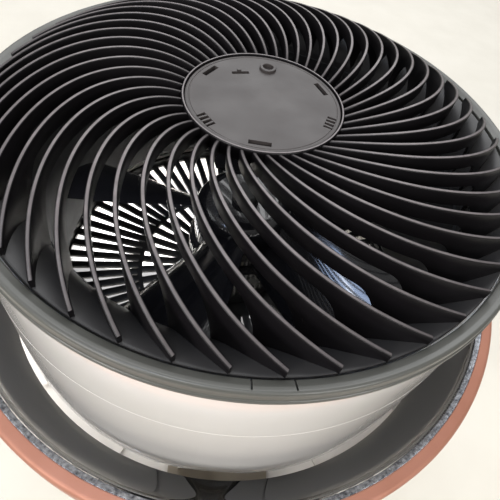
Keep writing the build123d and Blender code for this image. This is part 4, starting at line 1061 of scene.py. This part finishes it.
def dress(frame, look):
    """Materials and softened edges for the solids that are shown as they are."""
    plain = {
        "motor_can": "motor", "motor_front_cap": "motor", "motor_bearings": "steel",
        "motor_stator": "iron", "motor_screws": "steel", "motor_rotor": "iron",
        "motor_shaft": "steel", "impeller_nut": "duct", "head_screws": "steel",
        "trunnion_pins": "steel", "yoke": "frame", "trunnion_bushes": "nylon",
        "yoke_screws": "steel", "turntable_gear": "nylon", "swing_pinion": "nylon",
        "base_floor": "white", "base_screws": "steel", "rubber_feet": "rubber",
        "ballast_plate": "steel", "turntable_bearing": "nylon", "spindle_clip": "steel",
        "swing_bracket": "steel", "swing_motor": "motor", "control_panel": "piano",
        "speed_lights": "lens", "speed_knob": "copper", "knob_encoder": "motor",
        "power_button": "button", "swing_button": "button", "tact_switches": "duct",
        "control_board": "board", "power_inlet": "duct", "power_board": "board",
    }
    for node, key in plain.items():
        obj = frame["nodes"][node]
        obj.data.materials.clear()
        obj.data.materials.append(look[key])
        mod = obj.modifiers.new("round", "BEVEL")
        mod.width = EDGE_ROUND * MM
        mod.segments = 2
        mod.limit_method = "ANGLE"
        mod.angle_limit = math.radians(40)


# ------------------------------ stage, light, camera
def floor():
    """Plain pale floor."""
    half = 4.0  # metres
    corners = [(-half, -half, 0), (half, -half, 0), (half, half, 0), (-half, half, 0)]
    mesh = bpy.data.meshes.new("floor")
    mesh.from_pydata(corners, [], [(0, 1, 2, 3)])
    obj = bpy.data.objects.new("floor", mesh)
    bpy.context.scene.collection.objects.link(obj)
    obj.data.materials.append(plastic("floor_white", (0.67, 0.635, 0.555), (0.71, 0.675, 0.595),
                                      rough=0.5, grain=40.0, grain_depth=0.0002))


def room(low, high, strength):
    """Soft surroundings, shaded from the horizon to the top."""
    world = bpy.data.worlds.new("room")
    bpy.context.scene.world = world
    world.use_nodes = True
    tree = world.node_tree
    back = tree.nodes["Background"]
    coord = tree.nodes.new("ShaderNodeTexCoord")
    split = tree.nodes.new("ShaderNodeSeparateXYZ")
    ramp = tree.nodes.new("ShaderNodeValToRGB")
    tree.links.new(coord.outputs["Generated"], split.inputs[0])
    tree.links.new(split.outputs["Z"], ramp.inputs[0])
    ramp.color_ramp.elements[0].position = 0.0
    ramp.color_ramp.elements[0].color = (*low, 1)
    ramp.color_ramp.elements[1].position = 0.75
    ramp.color_ramp.elements[1].color = (*high, 1)
    tree.links.new(ramp.outputs[0], back.inputs["Color"])
    back.inputs["Strength"].default_value = strength


def area(name, place, target, size, power, color):
    """Soft rectangular light, in metres and watts."""
    light = bpy.data.lights.new(name, "AREA")
    light.shape = "RECTANGLE"
    light.size, light.size_y = size
    light.energy = power
    light.color = color
    obj = bpy.data.objects.new(name, light)
    obj.location = place
    obj.rotation_euler = (Vector(target) - Vector(place)).to_track_quat("-Z", "Y").to_euler()
    bpy.context.scene.collection.objects.link(obj)


def lighting():
    """Daylight from behind and above, softer light from the front and a little under the head."""
    bpy.context.scene.view_settings.view_transform = "Standard"
    room((0.28, 0.26, 0.245), (0.95, 0.94, 0.93), 0.40)
    sky, lamp, glow = (0.5, 0.66, 1.0), (1.0, 0.985, 0.965), (1.0, 0.99, 0.97)
    area("sky_strip", (-0.635, -0.382, 2.53), (0.065, -0.055, 0.153), (0.24, 1.2), 8, sky)
    area("front_left", (-1.25, -1.35, 1.2), (0, 0, 0.14), (0.8, 0.8), 24, lamp)
    area("front_right", (0.9, -1.5, 1.2), (0, 0, 0.14), (0.7, 0.7), 17, lamp)
    area("window_top", (-0.35, -0.75, 2.2), (0, -0.15, 0.12), (0.9, 0.5), 14, glow)
    area("window_left", (-2.2, 0.3, 1.9), (0, 0, 0.1), (1.2, 1.2), 14, (0.95, 0.98, 1.0))
    area("window_back", (0.3, 2.2, 2.3), (0, 0, 0.2), (2.8, 2.2), 66, (0.98, 0.99, 1.0))
    area("under_head", (-0.06, 0.05, 0.066), (-0.06, 0.05, 0), (0.17, 0.17), 0.9, glow)


def camera():
    """Camera at the photograph's place and angle."""
    data = bpy.data.cameras.new("camera")
    data.sensor_width = 36.0
    data.lens = CAMERA_LENS
    data.shift_x, data.shift_y = CAMERA_SHIFT
    data.clip_start = 0.01
    obj = bpy.data.objects.new("camera", data)
    right, up, back = Vector(CAMERA_RIGHT), -Vector(CAMERA_DOWN), -Vector(CAMERA_AHEAD)
    turn = Matrix((right, up, back)).transposed().to_4x4()
    obj.matrix_world = Matrix.Translation(CAMERA_PLACE) @ turn
    bpy.context.scene.collection.objects.link(obj)
    bpy.context.scene.camera = obj


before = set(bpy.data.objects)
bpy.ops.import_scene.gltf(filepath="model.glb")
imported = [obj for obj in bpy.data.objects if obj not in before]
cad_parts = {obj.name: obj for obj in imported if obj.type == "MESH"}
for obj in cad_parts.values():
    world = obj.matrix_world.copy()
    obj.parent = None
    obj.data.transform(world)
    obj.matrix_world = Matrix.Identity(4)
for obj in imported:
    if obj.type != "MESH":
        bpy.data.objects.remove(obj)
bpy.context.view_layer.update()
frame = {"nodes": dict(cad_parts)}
look = {**shell_materials(), **black_materials(), **inner_materials()}
build(look)
dress(frame, look)
floor()
lighting()
camera()
